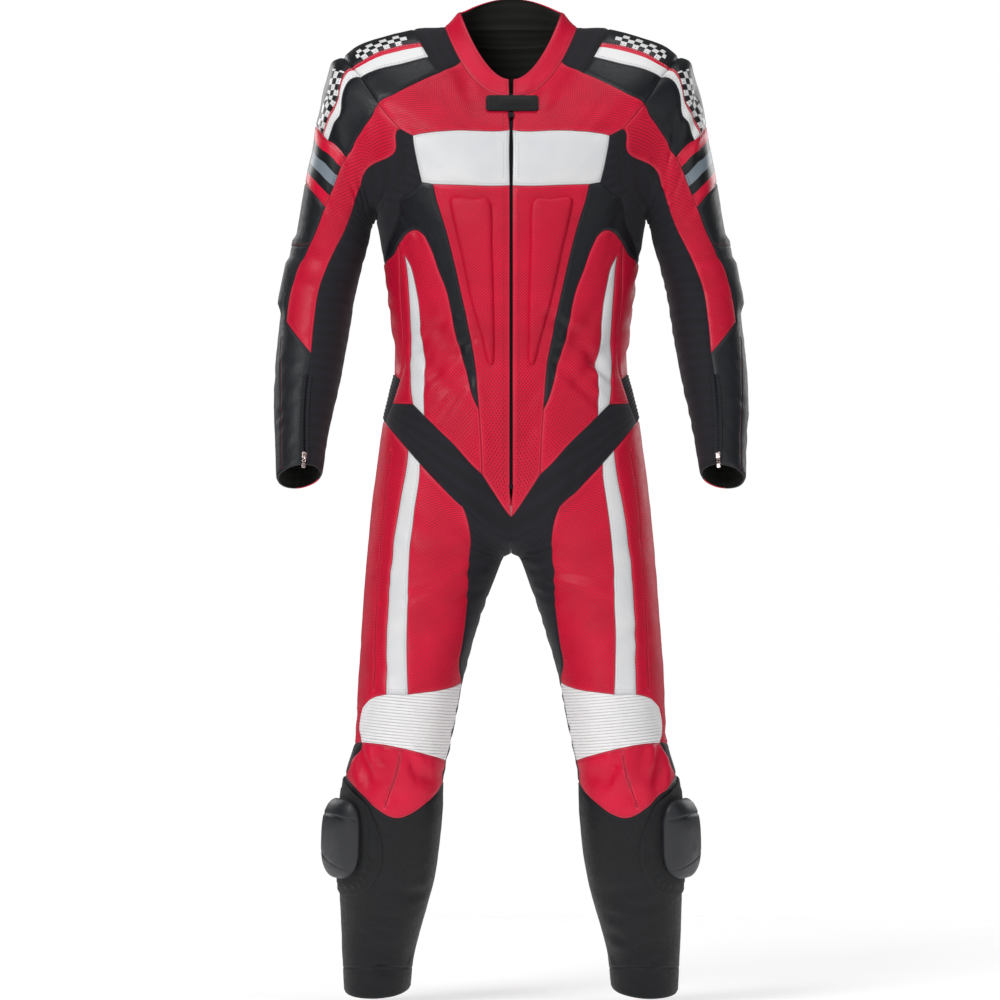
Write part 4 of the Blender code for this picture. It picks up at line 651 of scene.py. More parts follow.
@lru_cache
def crease_lines(side, groups):
    """The middle lines of one side's creases in these first groups, as millimetres on the limb, with their width
    and depth."""
    lines = []
    for number in range(groups):
        limb, first_turn, last_turn, top, bottom, count, length, tilt, width, depth = CREASES[number]
        draw = np.random.default_rng(100 * number + (7 if side < 0 else 3))
        for k in range(count):
            part = (k + 0.5) / count
            turn = first_turn + (last_turn - first_turn) * draw.uniform(0.15, 0.85)
            z = top + (bottom - top) * (part + draw.uniform(-0.3, 0.3) / count)
            middle = flat_places(limb, level(limb, turn, z)[None])[0]
            angle = math.radians(tilt + draw.uniform(-12, 12))
            reach = length * draw.uniform(0.6, 1.15) / 2
            along = np.linspace(-1, 1, 9)
            bow = draw.uniform(-0.16, 0.16) * reach
            x = along * reach
            y = bow * (1 - along ** 2) + draw.uniform(-1.2, 1.2, 9)
            line = middle + np.stack([x * math.cos(angle) - y * math.sin(angle),
                                      -x * math.sin(angle) - y * math.cos(angle)], 1)
            lines.append((limb, line, width * draw.uniform(0.75, 1.25), depth * draw.uniform(0.6, 1.15)))
    return lines


CALM_MIDDLE = 22.0


def crease_depth(limb, places, side):
    """How far the creases move the cloth: a trough with a low ridge on each side of it."""
    moved = np.zeros(len(places))
    whole = 2 * math.pi * LIMB_RADIUS[limb]
    flat = flat_places(limb, places)
    own_side = np.full(len(places), side)
    if limb == "torso":
        flat[:, 0] = np.abs(np.mod(flat[:, 0] + whole / 2, whole) - whole / 2)
        own_side = np.where(np.mod(places[:, 1], 360) > 180, -side, side)
    for half, (where, line, width, depth) in [(k, one) for k in (1, -1) for one in crease_lines(k, len(CREASES))]:
        if where != limb:
            continue
        off = flat.copy()
        if limb != "torso":
            off[:, 0] -= np.round((off[:, 0] - line[4, 0]) / whole) * whole
        span = np.abs(line - line[4]).max() + 4 * width
        near = np.flatnonzero((np.abs(off - line[4]) < span).all(1) & (own_side == half))
        if not len(near):
            continue
        spots = off[near]
        start, along = line[:-1], np.diff(line, axis=0)
        part = np.clip(((spots[:, None] - start) * along).sum(2) / (along ** 2).sum(1), 0, 1)
        gap = norm(spots[:, None] - (start + part[..., None] * along), axis=2)
        best = gap.argmin(1)
        away = gap[np.arange(len(near)), best] / width
        place_on = (best + part[np.arange(len(near)), best]) / len(along)
        fade = np.sin(math.pi * np.clip(place_on, 0.03, 0.97)) ** 0.7
        shape = -np.exp(-away ** 2) + 0.5 * np.exp(-((away - 1.7) / 0.8) ** 2)
        moved[near] += depth * fade * shape
    if limb == "torso":
        return moved * np.clip(np.minimum(flat[:, 0], whole / 2 - flat[:, 0]) / CALM_MIDDLE, 0, 1)
    return moved * np.clip(places[:, 0] / 0.6, 0, 1)


def soft_noise(spots, size, side):
    """Slow unevenness from -1 to 1, the same where two panels meet."""
    true = np.asarray(spots) * [side, 1, 1] / size + [31.0, 7.0, 3.0]
    return np.array([noise.noise(Vector(spot)) for spot in true])


SEAM_ROLL = 1.3
ROLL_WIDTH = 2.4
GROOVE_DEPTH = 1.0
GROOVE_WIDTH = 1.3
SHELL = 2.2
SAME_POINT = 0.05


def beside_line(limb, line):
    """Places in rows close to a seam that is drawn across a panel, so that its groove has an edge."""
    dense = run(limb, line, 5.0)
    rows = [dense]
    for by in (-3.4, -1.6, 1.6, 3.4):
        row = moved_in(limb, dense, by)[1:-1]
        rows.append(row)
    return np.concatenate(rows)


def panel_shape(patches, side, lift, extra, grooves):
    """A sewn panel's outside, as points in millimetres. Patches are its parts on each limb."""
    outlines = [spots_at(limb, line) for limb, line in patches]
    outs = [ways_at(limb, line) for limb, line in patches]
    ids = [np.arange(len(outlines[0]))]
    edge_spots = list(outlines[0])
    edge_outs = list(outs[0])
    for spots, ways in zip(outlines[1:], outs[1:]):
        own = []
        for spot, way in zip(spots, ways):
            gap = norm(np.array(edge_spots) - spot, axis=1)
            if gap.min() < SAME_POINT:
                own.append(int(gap.argmin()))
                edge_outs[own[-1]] = edge_outs[own[-1]] + way
            else:
                own.append(len(edge_spots))
                edge_spots.append(spot)
                edge_outs.append(way)
        ids.append(np.array(own))
    edge_spots = np.array(edge_spots)
    edge_outs = np.array(edge_outs)
    edge_outs /= norm(edge_outs, axis=1, keepdims=True)
    edge = tree_of(np.concatenate([divided(spots, np.roll(spots, -1, axis=0)) for spots in outlines]))
    middle_turn = {limb: (line[:, 1].min() + line[:, 1].max()) / 2 for limb, line in patches}
    count = len(edge_spots)
    points, ways, maps, rises, faces = [edge_spots], [edge_outs], [np.zeros((count, 2))], [np.zeros(count)], []
    total = count
    for (limb, line), own in zip(patches, ids):
        added = [extra.get(limb, np.zeros((0, 2)))]
        added += [beside_line(limb, seam_line) for where, seam_line in grooves if where == limb]
        found, corners = filled(limb, line, edge, np.concatenate(added))
        here = spots_at(limb, found)
        way = ways_at(limb, found)
        rise = fold_depth(limb, here) + crease_depth(limb, found, side)
        if lift is not None:
            rise = rise + lift(limb, found, here)
        number = np.concatenate([own, np.arange(total, total + len(found) - len(line))])
        total += len(found) - len(line)
        facing = np.cross(here[corners[:, 1]] - here[corners[:, 0]], here[corners[:, 2]] - here[corners[:, 0]])
        if (facing * way[corners[:, 0]]).sum() < 0:
            corners = corners[:, ::-1]
        faces.append(number[corners])
        own_map = cloth_map(limb, found, middle_turn[limb])
        maps[0][own] = own_map[: len(line)]
        rises[0][own] = rise[: len(line)]
        points.append(here[len(line):])
        ways.append(way[len(line):])
        maps.append(own_map[len(line):])
        rises.append(rise[len(line):])
    points = np.concatenate(points)
    ways = np.concatenate(ways)
    away = distances(edge, points)
    away[:count] = 0
    rise = np.concatenate(rises)
    rise += 1.0 * soft_noise(points, 62.0, side) + 0.45 * soft_noise(points, 21.0, side)
    rise -= SEAM_ROLL * np.exp(-(away / ROLL_WIDTH) ** 2)
    for limb, seam_line in grooves:
        dense = run(limb, seam_line, 1.0)
        gap = distances(tree_of(spots_at(limb, dense)), points)
        rise -= GROOVE_DEPTH * np.exp(-(gap / GROOVE_WIDTH) ** 2)
        away = np.minimum(away, gap)
    return points, ways, rise, np.concatenate(faces), np.concatenate(maps), away


def rim_of(faces):
    """Edges that only one face has, in that face's direction."""
    pairs = {}
    for face in faces:
        for start, end in zip(face, np.roll(face, -1)):
            pairs[int(start), int(end)] = True
    return [(start, end) for start, end in pairs if (end, start) not in pairs]


def mesh_object(name, points, faces, materials, maps=None, marks=None, inner_from=None, sharp=55):
    """An object in metres from points in millimetres, with its map and a number at each point for each mark."""
    mesh = bpy.data.meshes.new(name)
    mesh.from_pydata([tuple(p) for p in np.asarray(points) * MM], [], [tuple(int(k) for k in f) for f in faces])
    for one in materials:
        mesh.materials.append(one)
    if inner_from is not None:
        slots = np.zeros(len(mesh.polygons), int)
        slots[inner_from[0]:inner_from[1]] = 1
        mesh.polygons.foreach_set("material_index", slots)
    if maps is not None:
        layer = mesh.uv_layers.new(name="cloth")
        corner = np.zeros(len(mesh.loops), int)
        mesh.loops.foreach_get("vertex_index", corner)
        layer.data.foreach_set("uv", (np.asarray(maps)[corner] * MM).ravel())
    for mark, values in (marks or {}).items():
        held = mesh.attributes.new(mark, "FLOAT", "POINT")
        held.data.foreach_set("value", np.asarray(values, float))
    mesh.shade_smooth()
    mesh.set_sharp_from_angle(angle=math.radians(sharp))
    return placed(name, mesh)


# A half turn shows the same smallest rectangle twice, with its sides swapped. These panels find it from the second
# quarter turn, the others from the first.
SIDES_SWAPPED = ("shoulder_check", "thigh_front", "thigh_stripe", "neck_tab")


def flat_size(maps, faces, area, first):
    """The smallest rectangle that the flat panel is cut from, among turns from this one to a quarter turn on."""
    spots = maps[np.unique(faces)]
    best = None
    for angle in np.radians(np.arange(first, first + 90, 3)):
        turn = np.array([[math.cos(angle), -math.sin(angle)], [math.sin(angle), math.cos(angle)]])
        spread = np.ptp(spots @ turn, axis=0) * MM
        if best is None or spread.prod() < best.prod():
            best = spread
    if best.prod() < area:
        best = best * math.sqrt(area / best.prod()) * 1.001
    return best


def belongs(made, body, slot_name, node_name=None):
    """Says what a piece rides on and the solid it stands for. Its material slot is not used."""
    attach(made, body)
    if node_name:
        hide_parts(node_name)


def cut_out(name, node_name, hide, outer, inner, faces, side, maps, marks, area, sharp=55):
    """A panel with both faces and its cut edge, from its outside and inside. Gives the edge."""
    total, count = len(outer), len(faces)
    rim = rim_of(faces)
    whole = [tuple(f) for f in faces] + [tuple(total + k for k in f[::-1]) for f in faces]
    whole += [(b, a, total + a, total + b) for a, b in rim]
    points = np.concatenate([outer, inner])
    if side < 0:
        points = points * [-1, 1, 1]
        whole = [f[::-1] for f in whole]
    made = mesh_object(name, points, whole, [hide[0], lining], np.concatenate([maps, maps]), marks,
                       (count, 2 * count), sharp)
    width, length = flat_size(maps, faces, area, 90 if node_name.startswith(SIDES_SWAPPED) else 0)
    if area < 0.3 * width * length:
        length = area / 0.31 / width
    belongs(made, "suit", hide[1], node_name)
    return rim


STITCHED = []


def sew(name, node_name, hide, patches, side, lift=None, extra=None, marks=None, grooves=()):
    """Makes one panel. A hide is its leather or cloth, its material slot and the colour of its thread."""
    spots, ways, rise, faces, maps, away = panel_shape(patches, side, lift, extra or {}, grooves)
    outer = spots + ways * rise[:, None]
    held = {"seam_distance": np.concatenate([away, np.full(len(outer), 20.0)])}
    for mark, values_at in (marks or {}).items():
        held[mark] = np.tile(values_at(spots), 2)
    corners = outer[faces]
    area = norm(np.cross(corners[:, 1] - corners[:, 0], corners[:, 2] - corners[:, 0]), axis=1).sum()
    area = area / 2 * MM ** 2
    rim = cut_out(name, node_name, hide, outer, outer - ways * SHELL, faces, side, maps, held, area)
    SURFACES[node_name] = (outer, faces, side)
    if hide[2]:
        STITCHED.append((node_name, rim, hide[2]))


SURFACES = {}


SIDES = (("_left", 1), ("_right", -1))


def pair(name, hide, patches, lift=None, extra=None, marks=None, grooves=()):
    """The panel on both sides of the body."""
    for ending, side in SIDES:
        sew("panel_" + name + ending, name + ending, hide, patches, side, lift, extra, marks, grooves)


chart("torso")
ARMHOLE_TURNS = [row[0] for row in ARMHOLE] + [ARMHOLE[0][0] + 360]
ARMHOLE_PLACES = np.array([place("torso", x, z, face) for _, x, z, face in (*ARMHOLE, ARMHOLE[0])])
ARMHOLE_PLACES[:, 1] = np.abs(ARMHOLE_PLACES[:, 1])

LEG_TURN_AT_FRONT = -60.0
LEG_TURN_SPAN = 300.0


def leg_turn_of_torso(turn):
    """The leg's turn at a turn of the belt line."""
    return LEG_TURN_AT_FRONT + turn / 180 * LEG_TURN_SPAN


def on_row(row, turn):
    """A place given by its own row and turn."""
    return np.array([float(row), float(turn)])


def arm(name, turn):
    """A node of the armhole, on the torso and on the sleeve."""
    node(name, "torso", armhole_place(float(turn)))
    node(name, "sleeve", on_row(0, turn))


def belt_turn(x):
    """The turn at which the belt line has this x."""
    half, square = TORSO[-1][0], TORSO[-1][6]
    return math.degrees(math.asin((x / half) ** (square / 2)))


def belt(name, turn):
    """A node of the belt line, on the torso and on the leg."""
    node(name, "torso", on_row(BELT_ROW, turn))
    node(name, "leg", on_row(0, leg_turn_of_torso(turn)))


def armhole_seam(name, start, end):
    """A stretch of the armhole, shared by a torso panel and a sleeve panel."""
    fine = np.linspace(start, end, 200)
    length = run_length(armhole_ring(fine))
    count = max(2, math.ceil(length[-1] / SEAM_STEP))
    turns = np.interp(np.linspace(0, length[-1], count + 1), length, fine)
    SEAMS["torso", name] = armhole_place(turns)
    SEAMS["sleeve", name] = np.stack([0 * turns, turns], 1)


def belt_seam(name, start, end):
    """A stretch of the belt line, shared by a torso panel and a leg panel."""
    count = max(1, math.ceil(abs(end - start) / 2))
    turns = np.linspace(start, end, count + 1)
    SEAMS["torso", name] = np.stack([0 * turns + BELT_ROW, turns], 1)
    SEAMS["leg", name] = np.stack([0 * turns, leg_turn_of_torso(turns)], 1)


ZIP_EDGE = 2.2
NECK_TURN = math.degrees(math.asin(73.5 / TORSO[NECK_ROW][0]))
for label, turn in (("A0", 8), ("A1", 30), ("A2", 55), ("A3", 70), ("A4", 110), ("A5", 205), ("A5_inside", -155)):
    arm(label, turn)
TURN_R1 = belt_turn(71)
TURN_T1 = belt_turn(134)
TURN_T2 = belt_turn(151)
TURN_H2 = 80.0
TURN_R2 = 150.0
for label, turn in (("B0", 0), ("R1", TURN_R1), ("T1", TURN_T1), ("T2", TURN_T2), ("H2", TURN_H2),
                    ("R2", TURN_R2), ("B9", 180)):
    belt(label, turn)

for label, spot in (
    ("neck_front", on_row(NECK_ROW, 1.6)), ("neck_yoke", on_row(NECK_ROW, NECK_TURN)),
    ("neck_back", on_row(NECK_ROW, 180)), ("G1", (104, -22)), ("S1", (121, 2)), ("S2", (133, 24)),
    ("K2", (142, 26, BACK)), ("gusset_back", on_row(2.0, 180)), ("band_front", (ZIP_EDGE, -108)),
    ("band_end", (143, -117)), ("band_low_front", (ZIP_EDGE, -190)), ("band_low_end", (130, -185)),
    ("C1", (114, -188)), ("W", (47, -516)), ("V1", (42, -610)),
    ("tip", on_row(place("torso", 0.2, -672)[0], 0)), ("wedge_top", (125, -264)), ("E0", (163, -272)),
    ("E1", (84, -300, LEVEL)), ("E2", (112, -292, LEVEL)), ("rib_top", (163, -470)),
    ("Q1", (144, -507)), ("Q2", (127, -524)), ("stripe_tip", (155, -291)),
    ("rib_top_back", (180, -458, LEVEL)), ("rib_low_back", (180, -530, LEVEL)),
):
    node(label, "torso", spot)
node("H1", "torso", NODES["torso", "rib_top"] * 2 / 3 + NODES["torso", "H2"] / 3)

for name, start, between, end in (
    ("neck_a", "neck_front", [], "neck_yoke"),
    ("neck_b", "neck_yoke", [on_row(NECK_ROW, 90), on_row(NECK_ROW, 135)], "neck_back"),
    ("yoke_a", "neck_yoke", [], "G1"),
    ("yoke_b", "G1", [(138, -38), (170, -55)], "A1"),
    ("gusset_a", "G1", [], "S1"),
    ("gusset_b", "S1", [], "S2"),
    ("gusset_c", "S2", [(90, 46, LEVEL)], "K2"),
    ("gusset_d", "K2", [on_row(2.0, 120), on_row(2.0, 150)], "gusset_back"),
    ("stripe_low", "S1", [(155, -7), (185, -14)], "A2"),
    ("stripe_high", "S2", [(160, 20), (188, 12), (215, -2)], "A3"),
    ("check_back", "K2", [place("torso", 190, 2, BACK)], "A4"),
    ("zip_yoke", "neck_front", [], "band_front"),
    ("zip_band", "band_front", [], "band_low_front"),
    ("band_top", "band_front", [(70, -109)], "band_end"),
    ("yoke_corner", "band_end", [], "A0"),
    ("band_side", "band_end", [], "band_low_end"),
    ("band_low_a", "band_low_front", [(60, -190)], "C1"),
    ("band_low_b", "C1", [], "band_low_end"),
    ("centre_a", "C1", [(106, -220), (91, -270), (78, -325), (67, -374), (56, -429)], "W"),
    ("centre_b", "W", [(44, -560)], "V1"),
    ("wedge", "W", [(58, -490), (69, -447), (81, -407), (90, -360), (96, -338), (106, -313), (115, -286)],
     "wedge_top"),
    ("crown", "wedge_top", [(135, -255), (148, -256)], "E0"),
    ("side_low", "E0", [(174, -290)], "E1"),
    ("under_front", "band_low_end", [(146, -200), (163, -213), (170, -250)], "E1"),
    ("under_low", "E1", [], "E2"),
    ("under_back", "E2", [(125, -248, LEVEL), (134, -204, LEVEL)], "A5_inside"),
    ("side_seam", "E0", [(162, -340), (158, -400)], "rib_top"),
    ("rib_end_a", "rib_top", [], "H1"),
    ("belt_end", "H1", [], "H2"),
    ("belt_high_a", "H1", [], "Q1"),
    ("belt_high_b", "Q1", [], "Q2"),
    ("belt_high_c", "Q2", [(110, -541), (84, -566), (61, -592)], "V1"),
    ("belt_high_d", "V1", [(21, -643)], "tip"),
    ("stripe_out", "stripe_tip", [(152, -320), (149, -365), (147, -405), (148, -450)], "Q1"),
    ("stripe_in", "stripe_tip", [(145, -312), (138, -350), (133, -388), (130, -429)], "Q2"),
    ("rib_high", "rib_top", [(90, -463, LEVEL), (135, -458, LEVEL)], "rib_top_back"),
    ("rib_low", "H2", [(110, -528, LEVEL), (145, -528, LEVEL)], "rib_low_back"),
    ("belt_middle", "tip", [], "B0"),
):
    seam(name, "torso", start, between, end)
seam("zip_low", "torso", "band_low_front",
     [*((ZIP_EDGE, z) for z in (-300, -400, -500, -600, -636)), (0.4, -650)], "tip", smooth=False)
for row in (("arm_front", 8, 30), ("arm_leather", 30, 55), ("arm_stripe", 55, 70), ("arm_check", 70, 110),
            ("arm_back", 110, 205), ("arm_under", -155, 8)):
    armhole_seam(*row)
for row in (("line_a", 0, TURN_R1), ("line_b", TURN_R1, TURN_T1), ("line_c", TURN_T1, TURN_T2),
            ("line_d", TURN_T2, TURN_H2), ("line_e", TURN_H2, TURN_R2), ("line_f", TURN_R2, 180)):
    belt_seam(*row)


def mirrored(places):
    """Places on the torso's other half."""
    return np.stack([places[:, 0], 360 - places[:, 1]], 1)


def whole_back(names):
    """A line over the torso's centre back: the half's seams one way, then their mirror images back again."""
    half = [SEAMS["torso", name.lstrip("-")][::-1 if name.startswith("-") else 1] for name in names.split()]
    there = np.concatenate([part[:-1] for part in half] + [half[-1][-1:]])
    return np.concatenate([there[:-1], mirrored(there)[::-1]])


def between_lines(one, other):
    """A panel's patch between two lines over the centre back."""
    return [("torso", np.concatenate([one[:-1], other[::-1][:-1]]))]


CREASES += [
    ("torso", 18, 52, -385, -520, 8, 110, -40, 7, 2.6),
    ("torso", 38, 62, -205, -300, 4, 60, 66, 6, 1.6),
    ("torso", 40, 62, -95, -185, 4, 70, 34, 7, 2.0),
    ("torso", 12, 40, -40, -100, 3, 60, 28, 9, 1.6),
    ("torso", 5, 30, -330, -470, 4, 55, 20, 7, 1.5),
    ("torso", 66, 110, -290, -450, 7, 80, 24, 8, 1.9),
    ("torso", 120, 168, -110, -230, 4, 120, -32, 10, 2.4),
    ("torso", 130, 176, -300, -440, 6, 120, 8, 8, 2.6),
    ("torso", 90, 120, -60, -160, 3, 70, -50, 8, 2.0),
    ("torso", 120, 172, -560, -650, 4, 110, 22, 10, 2.0),
    ("torso", 8, 45, -560, -690, 4, 60, 34, 7, 1.4),
]


def on_torso(outline):
    """Places on the torso's front, from x and z."""
    return np.array([place("torso", x, z) for x, z in outline])


def inner_outline(outline, by):
    """A flat outline moved in by this much."""
    ahead = np.roll(outline, -1, axis=0) - outline
    ahead /= norm(ahead, axis=1, keepdims=True)
    normal = np.stack([-ahead[:, 1], ahead[:, 0]], 1)
    corner = normal + np.roll(normal, 1, axis=0)
    corner /= (1 + (normal * np.roll(normal, 1, axis=0)).sum(1))[:, None]
    moved = outline + corner * by
    inside = edge_distance(moved[:1], outline)[1][0]
    return moved if inside else outline - corner * by


def close_outline(outline, step):
    """A flat outline with points a step apart."""
    return divided(outline, np.roll(outline, -1, axis=0), step)


turns = np.linspace(2.5, 357.5, 110)
collar_rim = np.stack([0 * turns + RIM_ROW, turns], 1)
collar_foot = np.concatenate([SEAMS["torso", "neck_a"], SEAMS["torso", "neck_b"][1:]])
collar_foot = np.concatenate([collar_foot, mirrored(collar_foot)[::-1][1:]])
collar_ends = [run("torso", [collar_foot[-1], collar_rim[-1]], SEAM_STEP),
               run("torso", [collar_rim[0], collar_foot[0]], SEAM_STEP)]
sew("panel_collar", "collar", smooth_red,
    [("torso", np.concatenate([collar_foot, collar_ends[0][1:-1], collar_rim[::-1], collar_ends[1][1:-1]]))], 1)
sew("panel_neck_gusset", "neck_gusset", black_stretch, between_lines(
    whole_back("neck_b"), whole_back("yoke_a gusset_a gusset_b gusset_c gusset_d")), 1)


# Front yokes and shoulder leathers: punched red cowhide from the collar to the chest band, and plain black
# cowhide over the collarbone. Both are lined, turned under at the seams and top-stitched beside them.
# Punched holes stand 3.4 mm apart, coarser than the real 2 mm, so that they show as fine dots.
punched_red = (leather("red_punched_cowhide", "e20439", "cc0330", "ee5a70", 0.52, 1.3, 3.4), "red_leather", "red")
black_leather = (leather("black_polished_cowhide", "17191f", "101217", "3a3e46", 0.42, 1.2, 0, 0.08),
                 "black_leather", "black")
pair("yoke_front", punched_red, [loop("torso", "neck_a yoke_a yoke_b -arm_front -yoke_corner -band_top -zip_yoke")])
pair("shoulder_leather", black_leather, [loop("torso", "gusset_a stripe_low -arm_leather -yoke_b")])


# Chest band: white pigmented cowhide across the chest, in two plain halves that meet at the zip. Each is lined
# and sewn in on all its sides.
white_leather = (leather("white_pigmented_cowhide", "e6e6e6", "dcdde0", "f4f4f4", 0.38, 1.3, 0, 0.15),
                 "white_leather", "white")
pair("chest_band", white_leather, [loop("torso", "band_top band_side -band_low_b -band_low_a -zip_band")])


# Centre fronts: punched red cowhide from the chest band to the belt, sewn to the zip's tape. A long foam pad
# lies under each, inside a pressed groove.
PAD_RISE = 5.0
PAD_SLOPE = 7.0
PAD_OUTLINE = np.array([(30, -214), (58, -209), (88, -208), (86, -235), (75, -282), (66, -325), (57, -365),
                        (45, -406), (35, -446), (25, -447), (24, -410), (25, -350), (27, -280)], float)
pad_curve = through(np.concatenate([PAD_OUTLINE[-1:], PAD_OUTLINE, PAD_OUTLINE[:2]]),
                    np.linspace(1, len(PAD_OUTLINE) + 1, 120, endpoint=False))


def centre_lift(limb, places, spots):
    """The long foam pad, rounded up inside a pressed groove."""
    flat = np.stack([np.abs(spots[:, 0]), spots[:, 2]], 1)
    away, inside = edge_distance(flat, pad_curve)
    part = np.clip(away / PAD_SLOPE, 0, 1)
    groove = -0.9 * np.exp(-(away / 1.6) ** 2)
    return np.where(inside, PAD_RISE * (1 - (1 - part) ** 2.2), 0) + groove


pad_rows = [pad_curve] + [inner_outline(pad_curve, by) for by in (-2.5, 2.0, 4.5, 7.5)]
pad_places = on_torso(np.concatenate([close_outline(row, 5.0) for row in pad_rows]))
pair("centre_front", punched_red, [loop("torso", "band_low_a centre_a centre_b belt_high_d -zip_low")], centre_lift,
    {"torso": pad_places})


# Chest sides, side fronts and side stripes: black cowhide that narrows down beside the centre fronts, punched
# red cowhide round the waist, and a narrow white stripe let into it. All are lined and top-stitched.
pair("chest_side", black_leather, [loop("torso", "band_low_b under_front -side_low -crown -wedge -centre_a")])
pair("side_front", punched_red, [loop("torso", "-crown -wedge centre_b -belt_high_c -stripe_in stripe_out "
     "-belt_high_a -rib_end_a -side_seam")])
pair("side_stripe", white_leather, [loop("torso", "stripe_out belt_high_b -stripe_in")])


# Back: one panel of punched red cowhide from the neck stretch down to the waist rib, lined and sewn to the side
# fronts, the underarm cloth and the sleeves.
rib_top = whole_back("rib_high")
sew("panel_back", "back_panel", punched_red, between_lines(
    whole_back("-side_seam side_low under_low under_back -arm_back -check_back gusset_d"), rib_top), 1)


# Waist rib and seat: twelve ribs of black stretch cloth across the small of the back, padded up between lines
# of stitching, and a black cowhide seat panel below them.
RIB_SAMPLES = 8
RIB_RISE = 1.5
RIB_WALL = 2.5


def resampled(limb, places, count):
    """The same seam with this many evenly spaced places."""
    spots = spots_at(limb, places)
    length = run_length(spots)
    wanted = np.linspace(0, length[-1], count)
    return at_lengths(wanted, length, places)


def ribbed(name, node_name, hide, limb, top, bottom, near, far, ribs, side, profile, pitch=None):
    """A panel of ribs inside four seams, fanned out, or parallel with a pitch in mm and a slope."""
    columns = max(len(top), len(bottom))
    rows = ribs * RIB_SAMPLES + 1
    top, bottom = resampled(limb, top, columns), resampled(limb, bottom, columns)
    near, far = resampled(limb, near, rows), resampled(limb, far, rows)
    down = np.linspace(0, 1, rows)[:, None, None]
    across = np.linspace(0, 1, columns)[None, :, None]
    corners = (top[0] * (1 - across) + top[-1] * across) * (1 - down)
    corners = corners + (bottom[0] * (1 - across) + bottom[-1] * across) * down
    places = top[None] * (1 - down) + bottom[None] * down - corners
    places = (places + near[:, None] * (1 - across) + far[:, None] * across).reshape(-1, 2)
    spots = spots_at(limb, places)
    ways = ways_at(limb, places)
    part = np.repeat((np.arange(rows) % RIB_SAMPLES) / RIB_SAMPLES, columns)
    if pitch:
        part = np.mod((spots[:, 2] - pitch[1] * spots[:, 0]) / pitch[0], 1)
    rise = profile(part)
    edge = np.minimum(np.arange(columns), np.arange(columns)[::-1])
    ends = 1 - np.exp(-(edge / 0.9) ** 2)
    row_edge = np.minimum(np.arange(rows), np.arange(rows)[::-1])
    rise = rise * np.tile(ends, rows) * np.repeat(1 - np.exp(-(row_edge / 1.2) ** 2), columns)
    shared = fold_depth(limb, spots) + crease_depth(limb, places, side)
    rise += shared
    rise += 0.8 * soft_noise(spots, 62.0, side) - 1.0 * np.tile(np.exp(-(edge / 0.6) ** 2), rows)
    outer = spots + ways * rise[:, None]
    inner = spots + ways * (shared - RIB_WALL)[:, None]
    at = np.arange(rows * columns).reshape(rows, columns)
    quads = np.stack([at[:-1, :-1], at[1:, :-1], at[1:, 1:], at[:-1, 1:]], -1).reshape(-1, 4)
    facing = np.cross(spots[quads[:, 1]] - spots[quads[:, 0]], spots[quads[:, 3]] - spots[quads[:, 0]])
    if (facing * ways[quads[:, 0]]).sum() < 0:
        quads = quads[:, ::-1]
    maps = cloth_map(limb, places, (places[:, 1].min() + places[:, 1].max()) / 2)
    # Painted shade and highlight: the seam distance is made small at the valleys between ribs, so that a leather
    # hide darkens each valley with painted shade as in a seam groove and, at a pitch, lightens each rib's flanks
    # with the painted edge highlight.
    gap = np.minimum(part, 1 - part)
    depth = gap * pitch[0] + 0.5 if pitch else np.where(gap < 0.5 / RIB_SAMPLES, 0.8, 20.0)
    away = np.concatenate([np.minimum(depth, np.tile(edge * 4.0, rows)), depth * 0 + 20])
    area = (norm(facing, axis=1) * MM ** 2).sum()
    cut_out(name, node_name, hide, outer, inner, quads, side, maps, {"seam_distance": away}, area, 60)


def soft_rib(part):
    """A rib padded up between two lines of stitching."""
    return RIB_RISE * (np.sin(math.pi * part) ** 0.7) - 0.5 * (part == 0)


near = np.concatenate([SEAMS["torso", "rib_end_a"], SEAMS["torso", "belt_end"][1:]])
rib_foot = whole_back("rib_low")
ribbed("panel_waist_rib", "waist_rib", black_stretch, "torso", rib_top, rib_foot, near, mirrored(near), 12, 1,
       soft_rib)
sew("panel_seat", "seat", black_leather, between_lines(rib_foot, whole_back("line_e line_f")), 1)


# Shoulder stripes and checks: strips of white and red leather, and a black panel printed with three rows of
# checks, that both run from the neck over the armhole to the sleeve's band. They are the first panels on the
# sleeve, a bent tube sewn to the armhole, so its form, seams and creases are here too.
# Sleeve sections below the armhole: outer point, inner point, y of the centre, depth fore and aft
# outer_x, outer_z, inner_x, inner_z, y, fore, aft, square
SLEEVE = np.array([
    (266, -8, 201, -241, 4, 76, 80, 2.2),
    (280, -60, 202, -243, 4, 73, 78, 2.2),
    (291, -122, 204, -246, 5, 70, 75, 2.2),
    (304, -188, 206, -251, 7, 67, 72, 2.2),
    (313, -242, 209, -268, 10, 64, 70, 2.2),
    (325, -298, 219, -304, 11, 61, 68, 2.2),
    (334, -345, 229, -346, 8, 58, 63, 2.1),
    (341, -400, 237, -394, -4, 55, 58, 2.1),
    (346, -460, 247, -454, -24, 52, 54, 2.1),
    (347, -520, 259, -512, -47, 48, 49, 2.0),
    (344, -572, 269, -562, -69, 42, 42, 2.0),
    (342, -618, 275, -607, -93, 37, 37, 2.0),
], float)
CUFF_ROW = len(SLEEVE)


